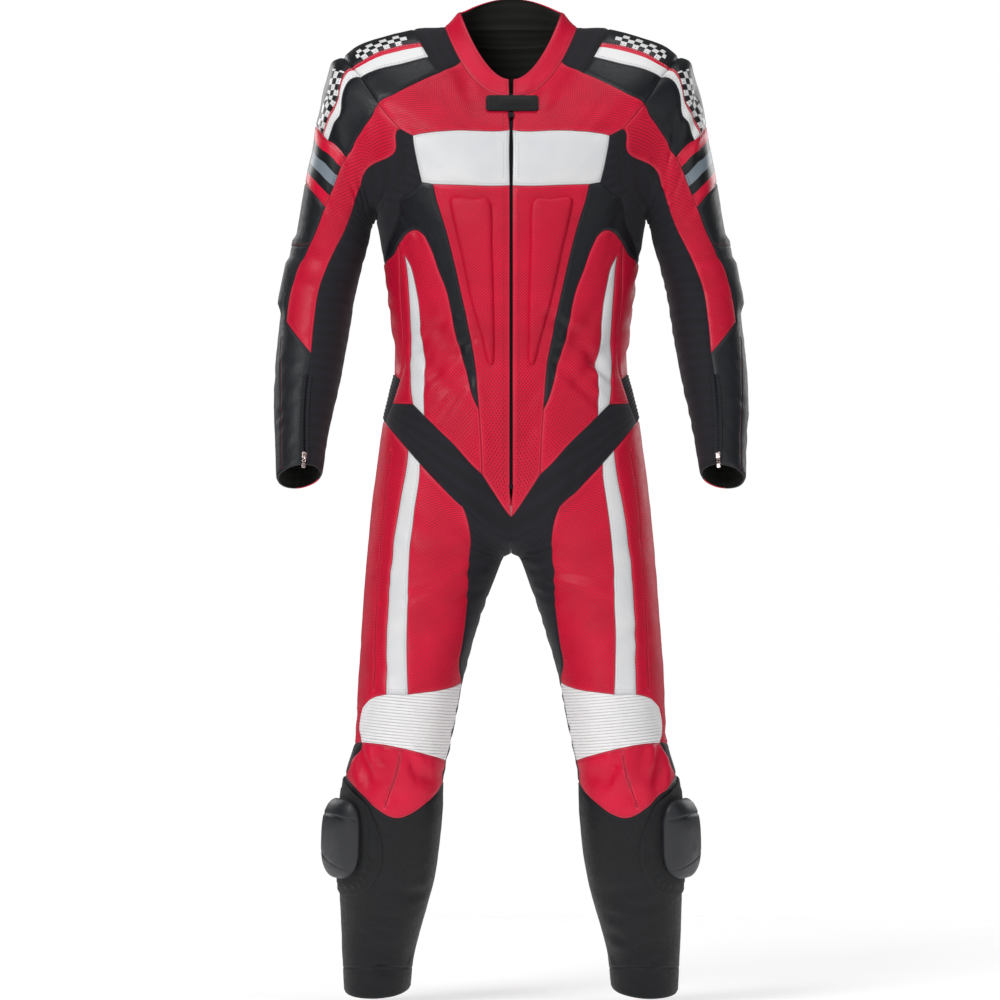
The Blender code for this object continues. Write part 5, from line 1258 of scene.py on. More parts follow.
def tube(table, row, turn):
    """A place on a sleeve or a leg, whose rings stand square to its middle line."""
    here = through(table, row)
    ahead = through(table, row + 0.25)
    behind = through(table, row - 0.25)
    outer = np.stack([here[..., 0], 0 * here[..., 0], here[..., 1]], -1)
    inner = np.stack([here[..., 2], 0 * here[..., 0], here[..., 3]], -1)
    width = norm(outer - inner, axis=-1, keepdims=True)
    across = (outer - inner) / width
    down = np.stack([across[..., 2], 0 * across[..., 0], -across[..., 0]], -1)
    moved = ahead - behind
    run = (moved[..., 0] + moved[..., 2]) / 2 * down[..., 0] + (moved[..., 1] + moved[..., 3]) / 2 * down[..., 2]
    pitch = np.arctan2(moved[..., 4], np.maximum(run, 1.0))[..., None]
    forward = down * np.sin(pitch) + np.array([0.0, -1.0, 0.0]) * np.cos(pitch)
    side, fore = swing(turn, here[..., 7])
    depth = np.where(fore > 0, here[..., 5], here[..., 6])
    middle = (outer + inner) / 2
    middle[..., 1] += here[..., 4]
    return middle + across * width / 2 * side[..., None] + forward * (depth * fore)[..., None]


def joined_tube(table, start, row, turn, pull):
    """A tube whose first stretch runs from a ring of places on the torso to its table's first section."""
    row, turn = np.broadcast_arrays(np.asarray(row, float), np.asarray(turn, float))
    below = tube(table, np.maximum(row - 1, 0), turn)
    first = tube(table, np.zeros_like(row), turn)
    next_one = tube(table, np.full_like(row, 0.2), turn)
    ring = start(turn)
    reach = norm(first - ring, axis=-1, keepdims=True)
    heading = next_one - first
    heading = heading / np.maximum(norm(heading, axis=-1, keepdims=True), 1e-6)
    middle = first - heading * reach * pull
    part = np.clip(row, 0, 1)[..., None]
    bend = ring * (1 - part) ** 2 + middle * 2 * part * (1 - part) + first * part ** 2
    return np.where((row < 1)[..., None], bend, below)


def sleeve(row, turn):
    """The sleeve's wall at this row and turn."""
    return joined_tube(SLEEVE, armhole_ring, row, turn, 0.45)


LIMBS["sleeve"] = sleeve
LAST_ROW["sleeve"] = CUFF_ROW
chart("sleeve")
FULL_TURN = 360.0
for label, spot in (
    ("P1", (241, -147)), ("P2", (272, -219)), ("D1", (330, -385)),
    ("D2", (292, -432)), ("M2", (269, -121)), ("M3", (278, -112)),
    ("M4", (115, -90, LEVEL)), ("N1", (150, -125, LEVEL)), ("N2", (150, -196, LEVEL)),
    ("cuff_zip", on_row(CUFF_ROW, -24)), ("cuff_rear", on_row(CUFF_ROW, 165)),
    ("cuff_inner", on_row(CUFF_ROW, 238)), ("cuff_inner_below", on_row(CUFF_ROW, -122)),
):
    node(label, "sleeve", spot)
for name, start, between, end in (
    ("check_rear", "A4", [(114, -45, LEVEL)], "M4"),
    ("white_out", "A3", [(253, -50), (268, -84)], "M3"),
    ("white_in", "A2", [(249, -73), (260, -97)], "M2"),
    ("red_out_a", "A1", [(219, -110)], "P1"),
    ("band_high_a", "P1", [], "M2"),
    ("band_high_b", "M2", [], "M3"),
    ("band_high_c", "M3", [(95, -96, LEVEL)], "M4"),
    ("band_high_d", "M4", [(132, -102, LEVEL)], "N1"),
    ("band_rear", "N1", [], "N2"),
    ("band_low", "P2", [(287, -201), (80, -182, LEVEL), (115, -180, LEVEL)], "N2"),
    ("band_front", "P1", [(258, -185)], "P2"),
    ("red_out_b", "P2", [(292, -267), (312, -302), (325, -345)], "D1"),
    ("diagonal", "D1", [], "D2"),
    ("red_in", "A0", [(201, -157), (233, -228), (264, -294), (281, -338), (288, -385)], "D2"),
    ("zip_line", "D2", [(297, -468), (301, -530), (300, -588)], "cuff_zip"),
    ("outer_rear", "N2", [(152, -300, LEVEL), (158, -450, LEVEL)], "cuff_rear"),
    ("inner_rear", "A5", [(224, -250, LEVEL), (238, -350, LEVEL), (238, -500, LEVEL)],
     "cuff_inner"),
    ("cuff_a", "cuff_zip", [on_row(CUFF_ROW, 70)], "cuff_rear"),
    ("cuff_b", "cuff_rear", [], "cuff_inner"),
    ("cuff_c", "cuff_inner_below", [], "cuff_zip"),
):
    seam(name, "sleeve", start, between, end)
turned("sleeve", "inner_rear", -FULL_TURN, "inner_rear_below")


CREASES += [
    ("sleeve", -75, 20, -120, -235, 8, 60, 30, 6, 2.6),
    ("sleeve", -80, 50, -255, -410, 11, 56, 10, 6.5, 1.7),
    ("sleeve", -30, 70, -430, -590, 8, 44, -14, 7, 1.1),
    ("sleeve", 120, 225, -120, -270, 6, 70, -24, 8, 1.6),
    ("sleeve", 170, 235, -290, -430, 6, 55, 6, 7, 1.5),
    ("sleeve", -130, -80, -270, -420, 7, 50, 6, 7, 0.9),
    ("sleeve", -130, -60, -440, -590, 6, 45, -8, 6, 1.0),
    ("sleeve", 60, 150, -410, -590, 7, 50, 12, 7, 1.1),
    ("sleeve", 20, 90, -60, -160, 3, 60, 20, 9, 1.6),
]


def seam_path(*seams):
    """A line through these seams of the torso or sleeve, in millimetres."""
    return np.concatenate([spots_at(limb, SEAMS[limb, name]) for limb, name in seams])


def from_path(path):
    """Distance from a line, and how far along it the nearest spot lies."""
    fine = divided(path[:-1], path[1:], 0.5)
    run_along = run_length(fine)
    tree = tree_of(fine)

    def both(spots):
        found = [tree.find(spot) for spot in spots]
        return np.array([f[2] for f in found]), run_along[[f[1] for f in found]]

    return both


def printed_hide(name, colour_of, roughness=0.4, metallic=0.0):
    """Pigment printed or laid in strips on a panel, with the grain of the leather below and painted shade in its
    seam groove.
    """
    add, shader, made = new_material(name)
    cloth = add("UVMap", uv_map="cloth")
    away = add("Attribute", attribute_name="seam_distance").outputs["Fac"]
    # Painted shade: the colour is darkened within 1.6 mm of a seam.
    groove = add("MapRange", {0: away, 2: 1.6, 3: 0.5, 4: 1.0})
    shade = add("Mix", {0: 1.0, 6: colour_of(add), 7: groove}, data_type="RGBA", blend_type="MULTIPLY")
    grain = add("TexVoronoi", {"Vector": cloth, "Scale": 800.0})
    relief = add("Bump", {"Height": grain, "Strength": 0.25, "Distance": 0.0005})
    fill(shader, {"Base Color": shade.outputs[2], "Normal": relief, "Roughness": roughness, "Metallic": metallic})
    return made


CHECK = 9.0
CHECKED_WIDTH = 27.0
ARM_ALONG = run_length(spots_at("torso", SEAMS["torso", "stripe_high"]))[-1]


def checks(add):
    """Three rows of 9 mm checks beside the red strip, plain black by the neck and round the armhole."""
    off = add("Attribute", attribute_name="from_strip").outputs["Fac"]
    along = add("Attribute", attribute_name="along_strip").outputs["Fac"]
    spot = add("CombineXYZ", {0: off, 1: along})
    cells = add("VectorMath", {0: spot, 1: (1 / CHECK, 1 / CHECK, 1.0)}, operation="MULTIPLY")
    checker = add("TexChecker", {"Vector": cells, "Scale": 1.0, "Color1": "f0f0f0", "Color2": "131519"})
    wide = add("Math", {0: off, 1: CHECKED_WIDTH}, operation="LESS_THAN")
    past_neck = add("Math", {0: along, 1: 2 * CHECK}, operation="GREATER_THAN")
    at_arm = add("Math", {0: along, 1: ARM_ALONG, 2: 1.5 * CHECK}, operation="COMPARE")
    between = add("Math", {0: past_neck, 1: at_arm}, operation="SUBTRACT", use_clamp=True)
    inside = add("Math", {0: wide, 1: between}, operation="MULTIPLY")
    return add("Mix", {0: inside, 6: "131519", 7: checker}, data_type="RGBA").outputs[2]


def strips(mark, *stops):
    """Colours in strips across a panel, each from its share of the width on."""
    def colour_of(add):
        part = add("Attribute", attribute_name=mark).outputs["Fac"]
        ramp = add("ValToRGB", {"Fac": part})
        ramp.color_ramp.interpolation = "CONSTANT"
        for index, (start, code) in enumerate(stops):
            stop = ramp.color_ramp.elements[index] if index < 2 else ramp.color_ramp.elements.new(start)
            stop.position = start
            stop.color = linear(code)
        return ramp.outputs["Color"]
    return colour_of


checked = (printed_hide("checked_printed_cowhide", checks), "white_leather", "black")
striped = (printed_hide("white_and_red_cowhide_strips", strips(
    "across_strip", (0.0, "f0f0f0"), (0.66, "dc0436"))), "white_leather", "white")
low_path = from_path(seam_path(("torso", "stripe_low"), ("sleeve", "white_in")))
high_path = from_path(seam_path(("torso", "stripe_high"), ("sleeve", "white_out")))


def share(one, other):
    """How far across a strip each spot lies, from 0 at one edge to 1 at the other."""
    return lambda spots: one(spots)[0] / np.maximum(one(spots)[0] + other(spots)[0], 1e-6)


pair("shoulder_stripe", striped, [
    loop("torso", "stripe_low arm_stripe -stripe_high -gusset_b"),
    loop("sleeve", "arm_stripe white_out -band_high_b -white_in")],
    marks={"across_strip": share(low_path, high_path)})
pair("shoulder_check", checked, [
    loop("torso", "stripe_high arm_check -check_back -gusset_c"),
    loop("sleeve", "arm_check check_rear -band_high_c -white_out")],
    marks={"from_strip": lambda spots: high_path(spots)[0], "along_strip": lambda spots: high_path(spots)[1]})


# Underarm stretch: one long piece of ribbed stretch cloth from the side of the chest through the armpit to the
# cuff, where it lies beside the short zip. It lets the arm reach forward.
pair("underarm_stretch", black_stretch, [
    loop("torso", "band_side under_front under_low under_back arm_under -yoke_corner"),
    loop("sleeve", "arm_under red_in zip_line -cuff_c -inner_rear_below")])


# Upper sleeves: black cowhide in front of the shoulder, a band of grey reflective cloth between black and red
# strips round the arm, and a panel of punched red cowhide down the front of the elbow.
banded = (printed_hide("grey_reflective_cloth_between_strips", strips(
    "across_band", (0.0, "dc0436"), (0.21, "131519"), (0.39, "7f8b96"), (0.60, "131519"), (0.78, "dc0436")), 0.36),
          "grey_reflective", "black")
band_high = from_path(seam_path(*(("sleeve", "band_high_" + k) for k in "abcd")))
band_low = from_path(seam_path(("sleeve", "band_low")))
pair("sleeve_leather", black_leather, [loop("sleeve", "arm_leather white_in -band_high_a -red_out_a")])
pair("sleeve_band", banded, [loop("sleeve", "band_high_a band_high_b band_high_c band_high_d band_rear "
     "-band_low -band_front")], marks={"across_band": share(band_high, band_low)})
pair("sleeve_front", punched_red, [loop("sleeve", "arm_front red_out_a band_front red_out_b diagonal -red_in")])


# Outer and back sleeves: punched black cowhide from the band to the cuff, over an elbow protector in two steps,
# and punched red cowhide down the back of the arm. The cuff's edge is turned in.
def elbow_lift(limb, places, spots):
    """The elbow protector's two steps under the outer leather."""
    height = spots[:, 2]
    behind = np.clip((places[:, 1] - 55) / 25, 0, 1) * np.clip((165 - places[:, 1]) / 20, 0, 1)
    first = np.clip((-258 - height) / 6, 0, 1) * np.clip((height + 372) / 14, 0, 1)
    second = np.clip((-292 - height) / 6, 0, 1) * np.clip((height + 372) / 14, 0, 1)
    return (4.0 * first + 3.0 * second) * behind


def elbow_rows(heights):
    """Places along level lines round the elbow, where its protector steps up."""
    return np.concatenate([[level("sleeve", turn, z) for turn in np.arange(48, 168, 5.0)] for z in heights])


punched_black = (leather("black_punched_cowhide", "24262b", "1b1d21", "44484e", 0.5, 1.2, 3.4, 0.05, 0.4, "050608"),
                 "black_leather", "black")
forearm_line = np.array([level("sleeve", 60, -404), level("sleeve", 48, -500), level("sleeve", 45, -604)])
elbow_line = np.array([level("sleeve", turn, -272 - 3 * math.sin(math.radians(turn))) for turn in (22, 50, 80, 110)])
pair("sleeve_outer", punched_black, [loop("sleeve", "band_low outer_rear -cuff_a -zip_line -diagonal -red_out_b")],
     elbow_lift, {"sleeve": elbow_rows((-256, -261, -266, -290, -295, -300))},
     grooves=[("sleeve", forearm_line), ("sleeve", elbow_line)])
pair("sleeve_back", punched_red, [loop("sleeve", "arm_back inner_rear -cuff_b -outer_rear -band_rear "
     "-band_high_d -check_rear")])


# Hip, crotch and knee stretch: ribbed stretch cloth in a deep V over the belly, through the crotch and behind
# the knees, which lets the legs bend. It is the first panel on the leg, a bent tube sewn to the belt line, so
# the leg's form, seams and creases are here too.
# Leg sections below the belt line, with the sleeve table's columns
LEG = np.array([
    (209, -700, 15, -738, 4, 100, 114, 2.2),
    (216, -780, 37, -796, 0, 98, 106, 2.2),
    (220, -850, 58, -863, -9, 92, 96, 2.2),
    (224, -905, 72, -918, -20, 87, 88, 2.1),
    (226, -960, 82, -970, -31, 83, 81, 2.1),
    (229, -1002, 90, -1008, -37, 83, 77, 2.1),
    (242, -1048, 98, -1050, -36, 82, 76, 2.1),
    (249, -1102, 100, -1102, -26, 76, 79, 2.1),
    (252, -1160, 105, -1158, -9, 70, 81, 2.0),
    (252, -1215, 115, -1213, 9, 64, 76, 2.0),
    (251, -1265, 129, -1263, 26, 59, 67, 2.0),
    (249, -1318, 142, -1313, 42, 54, 59, 2.0),
    (247, -1371, 148, -1365, 56, 51, 54, 2.0),
], float)
HEM_ROW = len(LEG)


CROTCH_PULL = (34.0, -762.0)


def torso_turn_of_leg(turn):
    """The belt line's turn at a turn of the leg."""
    return (turn - LEG_TURN_AT_FRONT) / LEG_TURN_SPAN * 180


def leg_ring(turn):
    """The leg opening: the belt line round the hip, then the crotch curve back to the front."""
    turn = np.mod(np.asarray(turn, float) - LEG_TURN_AT_FRONT, 360) + LEG_TURN_AT_FRONT
    round_hip = torso(np.full_like(turn, BELT_ROW), np.clip(torso_turn_of_leg(turn), 0, 180))
    front = torso(float(BELT_ROW), 0.0)
    back = torso(float(BELT_ROW), 180.0)
    pull = np.array([0.0, *CROTCH_PULL])
    part = np.clip((turn - LEG_TURN_AT_FRONT - LEG_TURN_SPAN) / (360 - LEG_TURN_SPAN), 0, 1)[..., None]
    crotch = back * (1 - part) ** 2 + pull * 2 * part * (1 - part) + front * part ** 2
    return np.where(part > 0, crotch, round_hip)


def leg(row, turn):
    """The leg's wall at this row and turn."""
    return joined_tube(LEG, leg_ring, row, turn, 0.4)


LIMBS["leg"] = leg
LAST_ROW["leg"] = HEM_ROW
chart("leg")
for label, spot in (
    ("K1", (218, -953)), ("K2", (-84, -915, LEVEL)), ("K3", (219, -1000)),
    ("K4", (-80, -1028, LEVEL)), ("X1", (82, -1050, LEVEL)), ("X2", (-80, -1062, LEVEL)),
    ("T3", (150, -930)), ("T4", (182, -930)), ("Z2", (205, -905, LEVEL)),
    ("Z0", (-110, -1056, LEVEL)), ("Z0_above", (250, -1056, LEVEL)),
    ("hem", on_row(HEM_ROW, -110)), ("hem_above", on_row(HEM_ROW, 250)),
    ("crotch_front", on_row(0, -60)), ("crotch_back", on_row(0, -120)),
):
    node(label, "leg", spot)
for name, start, between, end in (
    ("thigh_in", "R1", [(60, -730), (63, -797), (70, -855), (75, -890)], "K2"),
    ("stripe_a", "T1", [(145, -690), (151, -803), (152, -870)], "T3"),
    ("stripe_b", "T2", [(169, -690), (180, -810), (182, -870)], "T4"),
    ("knee_high_a", "K2", [(101, -924)], "T3"),
    ("knee_high_b", "T3", [], "T4"),
    ("knee_high_c", "T4", [(204, -937)], "K1"),
    ("knee_in", "K2", [(-83, -970, LEVEL)], "K4"),
    ("knee_out", "K1", [(222, -976)], "K3"),
    ("knee_low", "K3", [(186, -1002), (155, -1008), (125, -1016)], "K4"),
    ("shin_in", "K4", [], "X2"),
    ("shin_low", "X2", [(120, -1086), (145, -1104), (170, -1110), (199, -1094), (221, -1072)], "X1"),
    ("shin_out", "K3", [(230, -1024)], "X1"),
    ("thigh_rear", "R2", [(200, -800, LEVEL)], "Z2"),
    ("thigh_low", "Z2", [(150, -965, LEVEL), (100, -1000, LEVEL)], "K3"),
    ("crotch", "crotch_front", [], "crotch_back"),
    ("calf_high_b", "Z0", [], "X2"),
    ("calf_high_a", "X1", [(130, -1046, LEVEL), (200, -1048, LEVEL)], "Z0_above"),
    ("slit", "Z0", [], "hem"),
    ("hem_edge", "hem", [on_row(HEM_ROW, 0), on_row(HEM_ROW, 100)], "hem_above"),
):
    seam(name, "leg", start, between, end)
for name in ("line_f", "thigh_rear", "thigh_low", "shin_out", "calf_high_a"):
    turned("leg", name, -FULL_TURN, name + "_below")
turned("leg", "slit", FULL_TURN, "slit_above")


CREASES += [
    ("leg", -75, 10, -715, -800, 7, 80, -26, 8, 2.8),
    ("leg", -30, 60, -690, -930, 8, 90, 16, 12, 1.7),
    ("leg", 130, 240, -925, -1065, 10, 95, 5, 7, 2.4),
    ("leg", -115, -65, -780, -1060, 12, 60, 18, 7, 1.2),
    ("leg", 36, 46, -1030, -1040, 1, 80, 48, 9.0, 8.5),
    ("leg", 18, 28, -1020, -1028, 1, 48, 36, 7.5, 5.5),
    ("leg", -20, -10, -1032, -1044, 1, 62, 52, 8.5, 7.5),
    ("leg", -46, -38, -1046, -1056, 1, 46, 16, 7.5, 5.0),
    ("leg", 0, 8, -1074, -1084, 1, 40, -30, 8, 4.0),
    ("leg", -60, 40, -1215, -1355, 8, 76, 9, 8, 2.4),
    ("leg", 110, 240, -1090, -1350, 11, 95, -8, 9, 2.6),
    ("leg", 90, 180, -720, -910, 7, 110, 20, 10, 2.2),
    ("leg", 60, 125, -930, -1010, 4, 50, 14, 7, 2.0),
]

pair("hip_stretch", black_stretch, [
    loop("torso", "belt_high_a belt_high_b belt_high_c belt_high_d belt_middle "
                  "line_a line_b line_c line_d -belt_end"),
    loop("leg", "-line_a crotch -line_f_below thigh_rear_below thigh_low_below shin_out_below "
                "calf_high_a_below calf_high_b -shin_in -knee_in -thigh_in")])


# Thighs: punched red cowhide in front and round the outside, a white stripe between them with a short cross
# seam near its foot, and a seam drawn down the side.
pair("thigh_front", punched_red, [loop("leg", "line_b stripe_a -knee_high_a -thigh_in")])
cross_seam = np.array([place("leg", 150, -920), place("leg", 184, -921)])
pair("thigh_stripe", white_leather, [loop("leg", "line_c stripe_b -knee_high_b -stripe_a")],
     grooves=[("leg", cross_seam)])
side_line = np.array([place("leg", 176, -575), place("leg", 186, -650), place("leg", 196, -790),
                      place("leg", 200, -925)])
pair("thigh_side", punched_red, [loop("leg", "line_d line_e thigh_rear thigh_low -knee_out -knee_high_c -stripe_b")],
     grooves=[("leg", side_line)])

# Knee ribs and shins: white cowhide padded up in parallel ribs over the knee, and a pointed panel of smooth red
# cowhide below, with one pressed line down it. The ribs stand 4.5 mm apart.
shin_line = np.array([place("leg", 161, -1009), place("leg", 167, -1045), place("leg", 184, -1096)])
pair("shin", smooth_red, [loop("leg", "knee_low shin_in shin_low -shin_out")], grooves=[("leg", shin_line)])
white_rib_leather = (leather("white_padded_rib_cowhide", "f8f6f6", "f3f1f3", "fbfbfb", 0.5, 1.3, 0, 0.05, 0.03),
                     "white_leather", None)
knee_top = np.concatenate([SEAMS["leg", "knee_high_a"][:-1], SEAMS["leg", "knee_high_b"][:-1],
                           SEAMS["leg", "knee_high_c"]])


def knee_ridge(part):
    """A full round rib with a narrow valley."""
    return 1.3 * (np.sin(math.pi * part).clip(0) ** 0.5) - 0.3 * ((part < 0.08) | (part > 0.92))


for ending, side in SIDES:
    ribbed("panel_knee_rib" + ending, "knee_rib" + ending, white_rib_leather, "leg",
           knee_top, SEAMS["leg", "knee_low"][::-1], SEAMS["leg", "knee_in"], SEAMS["leg", "knee_out"], 20, side,
           knee_ridge, (4.5, 0.09))


# Lower legs: matt black cowhide round the calf from the knee to the hem, closed along the inside. The hem is
# turned in and stitched all round.
calf_leather = (leather("black_matt_cowhide", "0b0c11", "07080c", "2c2f36", 0.5, 1.2, 0, 0.02),
                "black_leather", "black")
hem_line = np.array([level("leg", turn, -1337 + 3 * math.cos(math.radians(turn))) for turn in range(-106, 247, 16)])
pair("lower_leg", calf_leather, [loop("leg", "calf_high_b shin_low calf_high_a slit_above -hem_edge -slit")],
    grooves=[("leg", hem_line)])


# Neck tab: a strap of hook-and-loop pile that closes the collar over the top of the zip. A moulded rubber
# strip is stitched along its middle.
def pile_cloth(name, colours):
    """Hook-and-loop pile: matt loops that hide the weave below."""
    add, shader, made = new_material(name)
    cloth = add("UVMap", uv_map="cloth")
    loops = add("TexNoise", {"Vector": cloth, "Scale": 1300.0, "Detail": 3.0})
    patchy = add("TexNoise", {"Vector": cloth, "Scale": 60.0})
    both = add("Math", {0: loops, 1: patchy}, operation="MULTIPLY")
    spread = add("MapRange", {0: both, 1: 0.12, 2: 0.4})
    mixed = add("Mix", {0: spread, 6: colours[0], 7: colours[1]}, data_type="RGBA")
    relief = add("Bump", {"Height": loops, "Strength": 0.9, "Distance": 0.0009})
    fill(shader, {"Base Color": mixed.outputs[2], "Normal": relief, "Roughness": 0.95, "Sheen Weight": 0.08,
                  "Sheen Roughness": 0.6})
    return made


black_pile = (pile_cloth("black_hook_and_loop_pile", ("050608", "101216")), "black_pile", "black")
TAB_THICK = 3.4
TAB_REST = 1.5


def rounded_box(x, z, half_width, half_height, corner, each=7):
    """Outline of a rounded rectangle, as x and z."""
    outline = []
    for start, sign_x, sign_z in ((0, 1, 1), (90, -1, 1), (180, -1, -1), (270, 1, -1)):
        for k in range(each + 1):
            angle = math.radians(start + 90 * k / each)
            outline.append((x + sign_x * (half_width - corner) + corner * math.cos(angle),
                            z + sign_z * (half_height - corner) + corner * math.sin(angle)))
    return close_outline(np.array(outline), 4.0)


tab_outline = rounded_box(1.5, -69.5, 38.5, 11.5, 5)
strip_outline = rounded_box(6, -69.5, 25, 6, 2.5)


def tab_lift(limb, places, spots):
    """The strap, with its raised middle strip."""
    away, inside = edge_distance(spots[:, [0, 2]], strip_outline)
    part = np.clip(away / 1.6, 0, 1)
    return TAB_REST + TAB_THICK + np.where(inside, 2.0 * np.sqrt(part), 0) - 0.6 * np.exp(-(away / 1.2) ** 2)


strip_rows = [strip_outline] + [inner_outline(strip_outline, by) for by in (-1.5, 1.2, 2.6)]
strip_places = on_torso(np.concatenate([close_outline(row, 2.5) for row in strip_rows]))
sew("strap_neck_tab", "neck_tab", black_pile, [("torso", on_torso(tab_outline))], 1,
    tab_lift, {"torso": strip_places})


# Puck bases: pads of the same pile sewn to the outer calf, which hold the pucks. A stiff notched backing
# shows as a step round each puck.
REST = 0.6
BASE_THICK = 2.6
PUCK_TURN = 62.0
PUCK_HEIGHT = -1140.0
PUCK_HALF_TURN = 31.0
PUCK_HALF_HEIGHT = 58.0
NOTCHES = 26
base_front = [(244, -1052), (217, -1083), (200, -1112), (189, -1145), (190, -1182), (206, -1214), (230, -1227)]
base_places = [place("leg", x, z) for x, z in base_front]
base_places += [level("leg", turn, z) for turn, z in ((86, -1222), (112, -1205), (118, -1150), (112, -1095),
                                                       (94, -1058))]
base_line = run("leg", [*base_places, base_places[0]], 5.0)[:-1]


def round_puck(part, angle):
    """Places on the calf, this far from the puck's middle and this way round it."""
    up, across = np.cos(angle), np.sin(angle)
    across = np.copysign(np.abs(across) ** 0.62, across)
    up = np.copysign(np.abs(up) ** 0.62, up)
    turn = PUCK_TURN + PUCK_HALF_TURN * part * across
    height = PUCK_HEIGHT + PUCK_HALF_HEIGHT * part * up
    column = (turn - CALF_TURNS[0]) / (CALF_TURNS[1] - CALF_TURNS[0])
    low = np.clip(column.astype(int), 0, len(CALF_TURNS) - 2)
    rows = np.array([[np.interp(-z, -CALF_HEIGHTS[:, k + n], CALF_ROWS) for n in (0, 1)]
                     for z, k in zip(height, low)])
    share_on = column - low
    return np.stack([rows[:, 0] * (1 - share_on) + rows[:, 1] * share_on, turn], 1)


CALF_TURNS = np.linspace(PUCK_TURN - 1.5 * PUCK_HALF_TURN, PUCK_TURN + 1.5 * PUCK_HALF_TURN, 33)
CALF_ROWS = np.linspace(level("leg", PUCK_TURN, -1030)[0], level("leg", PUCK_TURN, -1250)[0], 120)
row_grid, turn_grid = np.meshgrid(CALF_ROWS, CALF_TURNS, indexing="ij")
CALF_HEIGHTS = LIMBS["leg"](row_grid, turn_grid)[..., 2]
around_once = np.linspace(0, 2 * math.pi, 260, endpoint=False)
backing_part = 1.2 + 0.07 * np.abs(np.sin(NOTCHES * around_once / 2)) + 0.05 * np.sin(2 * around_once)
backing_line = round_puck(backing_part, around_once)
backing_flat = flat_places("leg", backing_line)


def base_lift(limb, places, spots):
    """The pile base, with the step of the notched backing."""
    away, inside = edge_distance(flat_places("leg", places), backing_flat)
    return REST + BASE_THICK + np.where(inside, 1.3 * np.clip(away / 1.0, 0, 1), 0)


backing_rows = np.concatenate([round_puck(backing_part + by, around_once) for by in (-0.045, -0.02, 0.012)])
pair("puck_base", black_pile, [("leg", base_line)], base_lift, {"leg": backing_rows})


# Knee pucks: hard plastic sliders, moulded in one piece with a rounded rim and two shallow grooves. They
# press onto the pile bases.
add, shader, puck_plastic = new_material("black_moulded_polyamide")
around = add("NewGeometry")
flecks = add("TexNoise", {"Vector": around, "Scale": 1500.0})
scuffs = add("TexNoise", {"Vector": around, "Scale": 70.0, "Detail": 5.0})
tone = add("Mix", {0: scuffs, 6: "15161a", 7: "24262c"}, data_type="RGBA")
gloss = add("MapRange", {0: scuffs, 1: 0.3, 2: 0.7, 3: 0.36, 4: 0.55})
relief = add("Bump", {"Height": flecks, "Strength": 0.35, "Distance": 0.0004})
fill(shader, {"Base Color": tone.outputs[2], "Roughness": gloss, "Normal": relief})

PUCK_REST = REST + BASE_THICK + 1.0
PUCK_WALL = 9.0
PUCK_DOME = 17.5
PUCK_COLUMNS = 120
PUCK_RINGS = 44


def ring_quads(rings, columns):
    """Four-sided faces between rings of points, one more ring than asked for."""
    return [(j * columns + k, j * columns + (k + 1) % columns, (j + 1) * columns + (k + 1) % columns,
             (j + 1) * columns + k) for j in range(rings) for k in range(columns)]


def puck_points_at(part, angles):
    """The puck's face: a flat-topped dome with a level groove high up and a slanting one low down."""
    places = round_puck(part, angles)
    spots = spots_at("leg", places)
    outs = ways_at("leg", places)
    across = (places[:, 1] - PUCK_TURN) / PUCK_HALF_TURN
    up = (spots[:, 2] - PUCK_HEIGHT) / PUCK_HALF_HEIGHT
    rise = PUCK_WALL + PUCK_DOME * max(1 - part ** 3.2, 0) ** 0.62
    upper = (up - 0.62 + 0.1 * across ** 2) * PUCK_HALF_HEIGHT
    lower = (up + 0.5 - 0.28 * across) * PUCK_HALF_HEIGHT
    rise = rise - 1.5 * np.exp(-(upper / 1.5) ** 2)
    rise -= 1.3 * np.exp(-(lower / 1.4) ** 2) * min(1.0, 2.2 * (1 - part) + 0.3)
    return spots + outs * (PUCK_REST + rise)[:, None]


angles = np.linspace(0, 2 * math.pi, PUCK_COLUMNS, endpoint=False)
foot = round_puck(0.97, angles)
foot_spots = spots_at("leg", foot)
foot_outs = ways_at("leg", foot)
rings = [foot_spots + foot_outs * PUCK_REST, foot_spots + foot_outs * (PUCK_REST + 0.6 * PUCK_WALL)]
for ring in range(PUCK_RINGS):
    rings.append(puck_points_at(1.0 - 0.98 * (ring / (PUCK_RINGS - 1)) ** 1.25, angles))
top = rings[-1].mean(0)
foot_middle = foot_spots.mean(0) + foot_outs.mean(0) * PUCK_REST
puck_points = np.concatenate([*rings, top[None], foot_middle[None]])
puck_faces = ring_quads(PUCK_RINGS + 1, PUCK_COLUMNS)
top_ring = (PUCK_RINGS + 1) * PUCK_COLUMNS
for k in range(PUCK_COLUMNS):
    after = (k + 1) % PUCK_COLUMNS
    puck_faces.append((top_ring + k, top_ring + after, len(puck_points) - 2))
    puck_faces.append((after, k, len(puck_points) - 1))
first = puck_faces[0]
normal = np.cross(puck_points[first[1]] - puck_points[first[0]], puck_points[first[3]] - puck_points[first[0]])
if normal @ (puck_points[first[0]] - foot_spots.mean(0)) < 0:
    puck_faces = [f[::-1] for f in puck_faces]
for ending, side in SIDES:
    made = mesh_object("moulded_puck" + ending, puck_points * [side, 1, 1],
                       puck_faces if side > 0 else [f[::-1] for f in puck_faces], [puck_plastic], sharp=50)
    belongs(made, "suit", "hard_plastic", "puck" + ending)


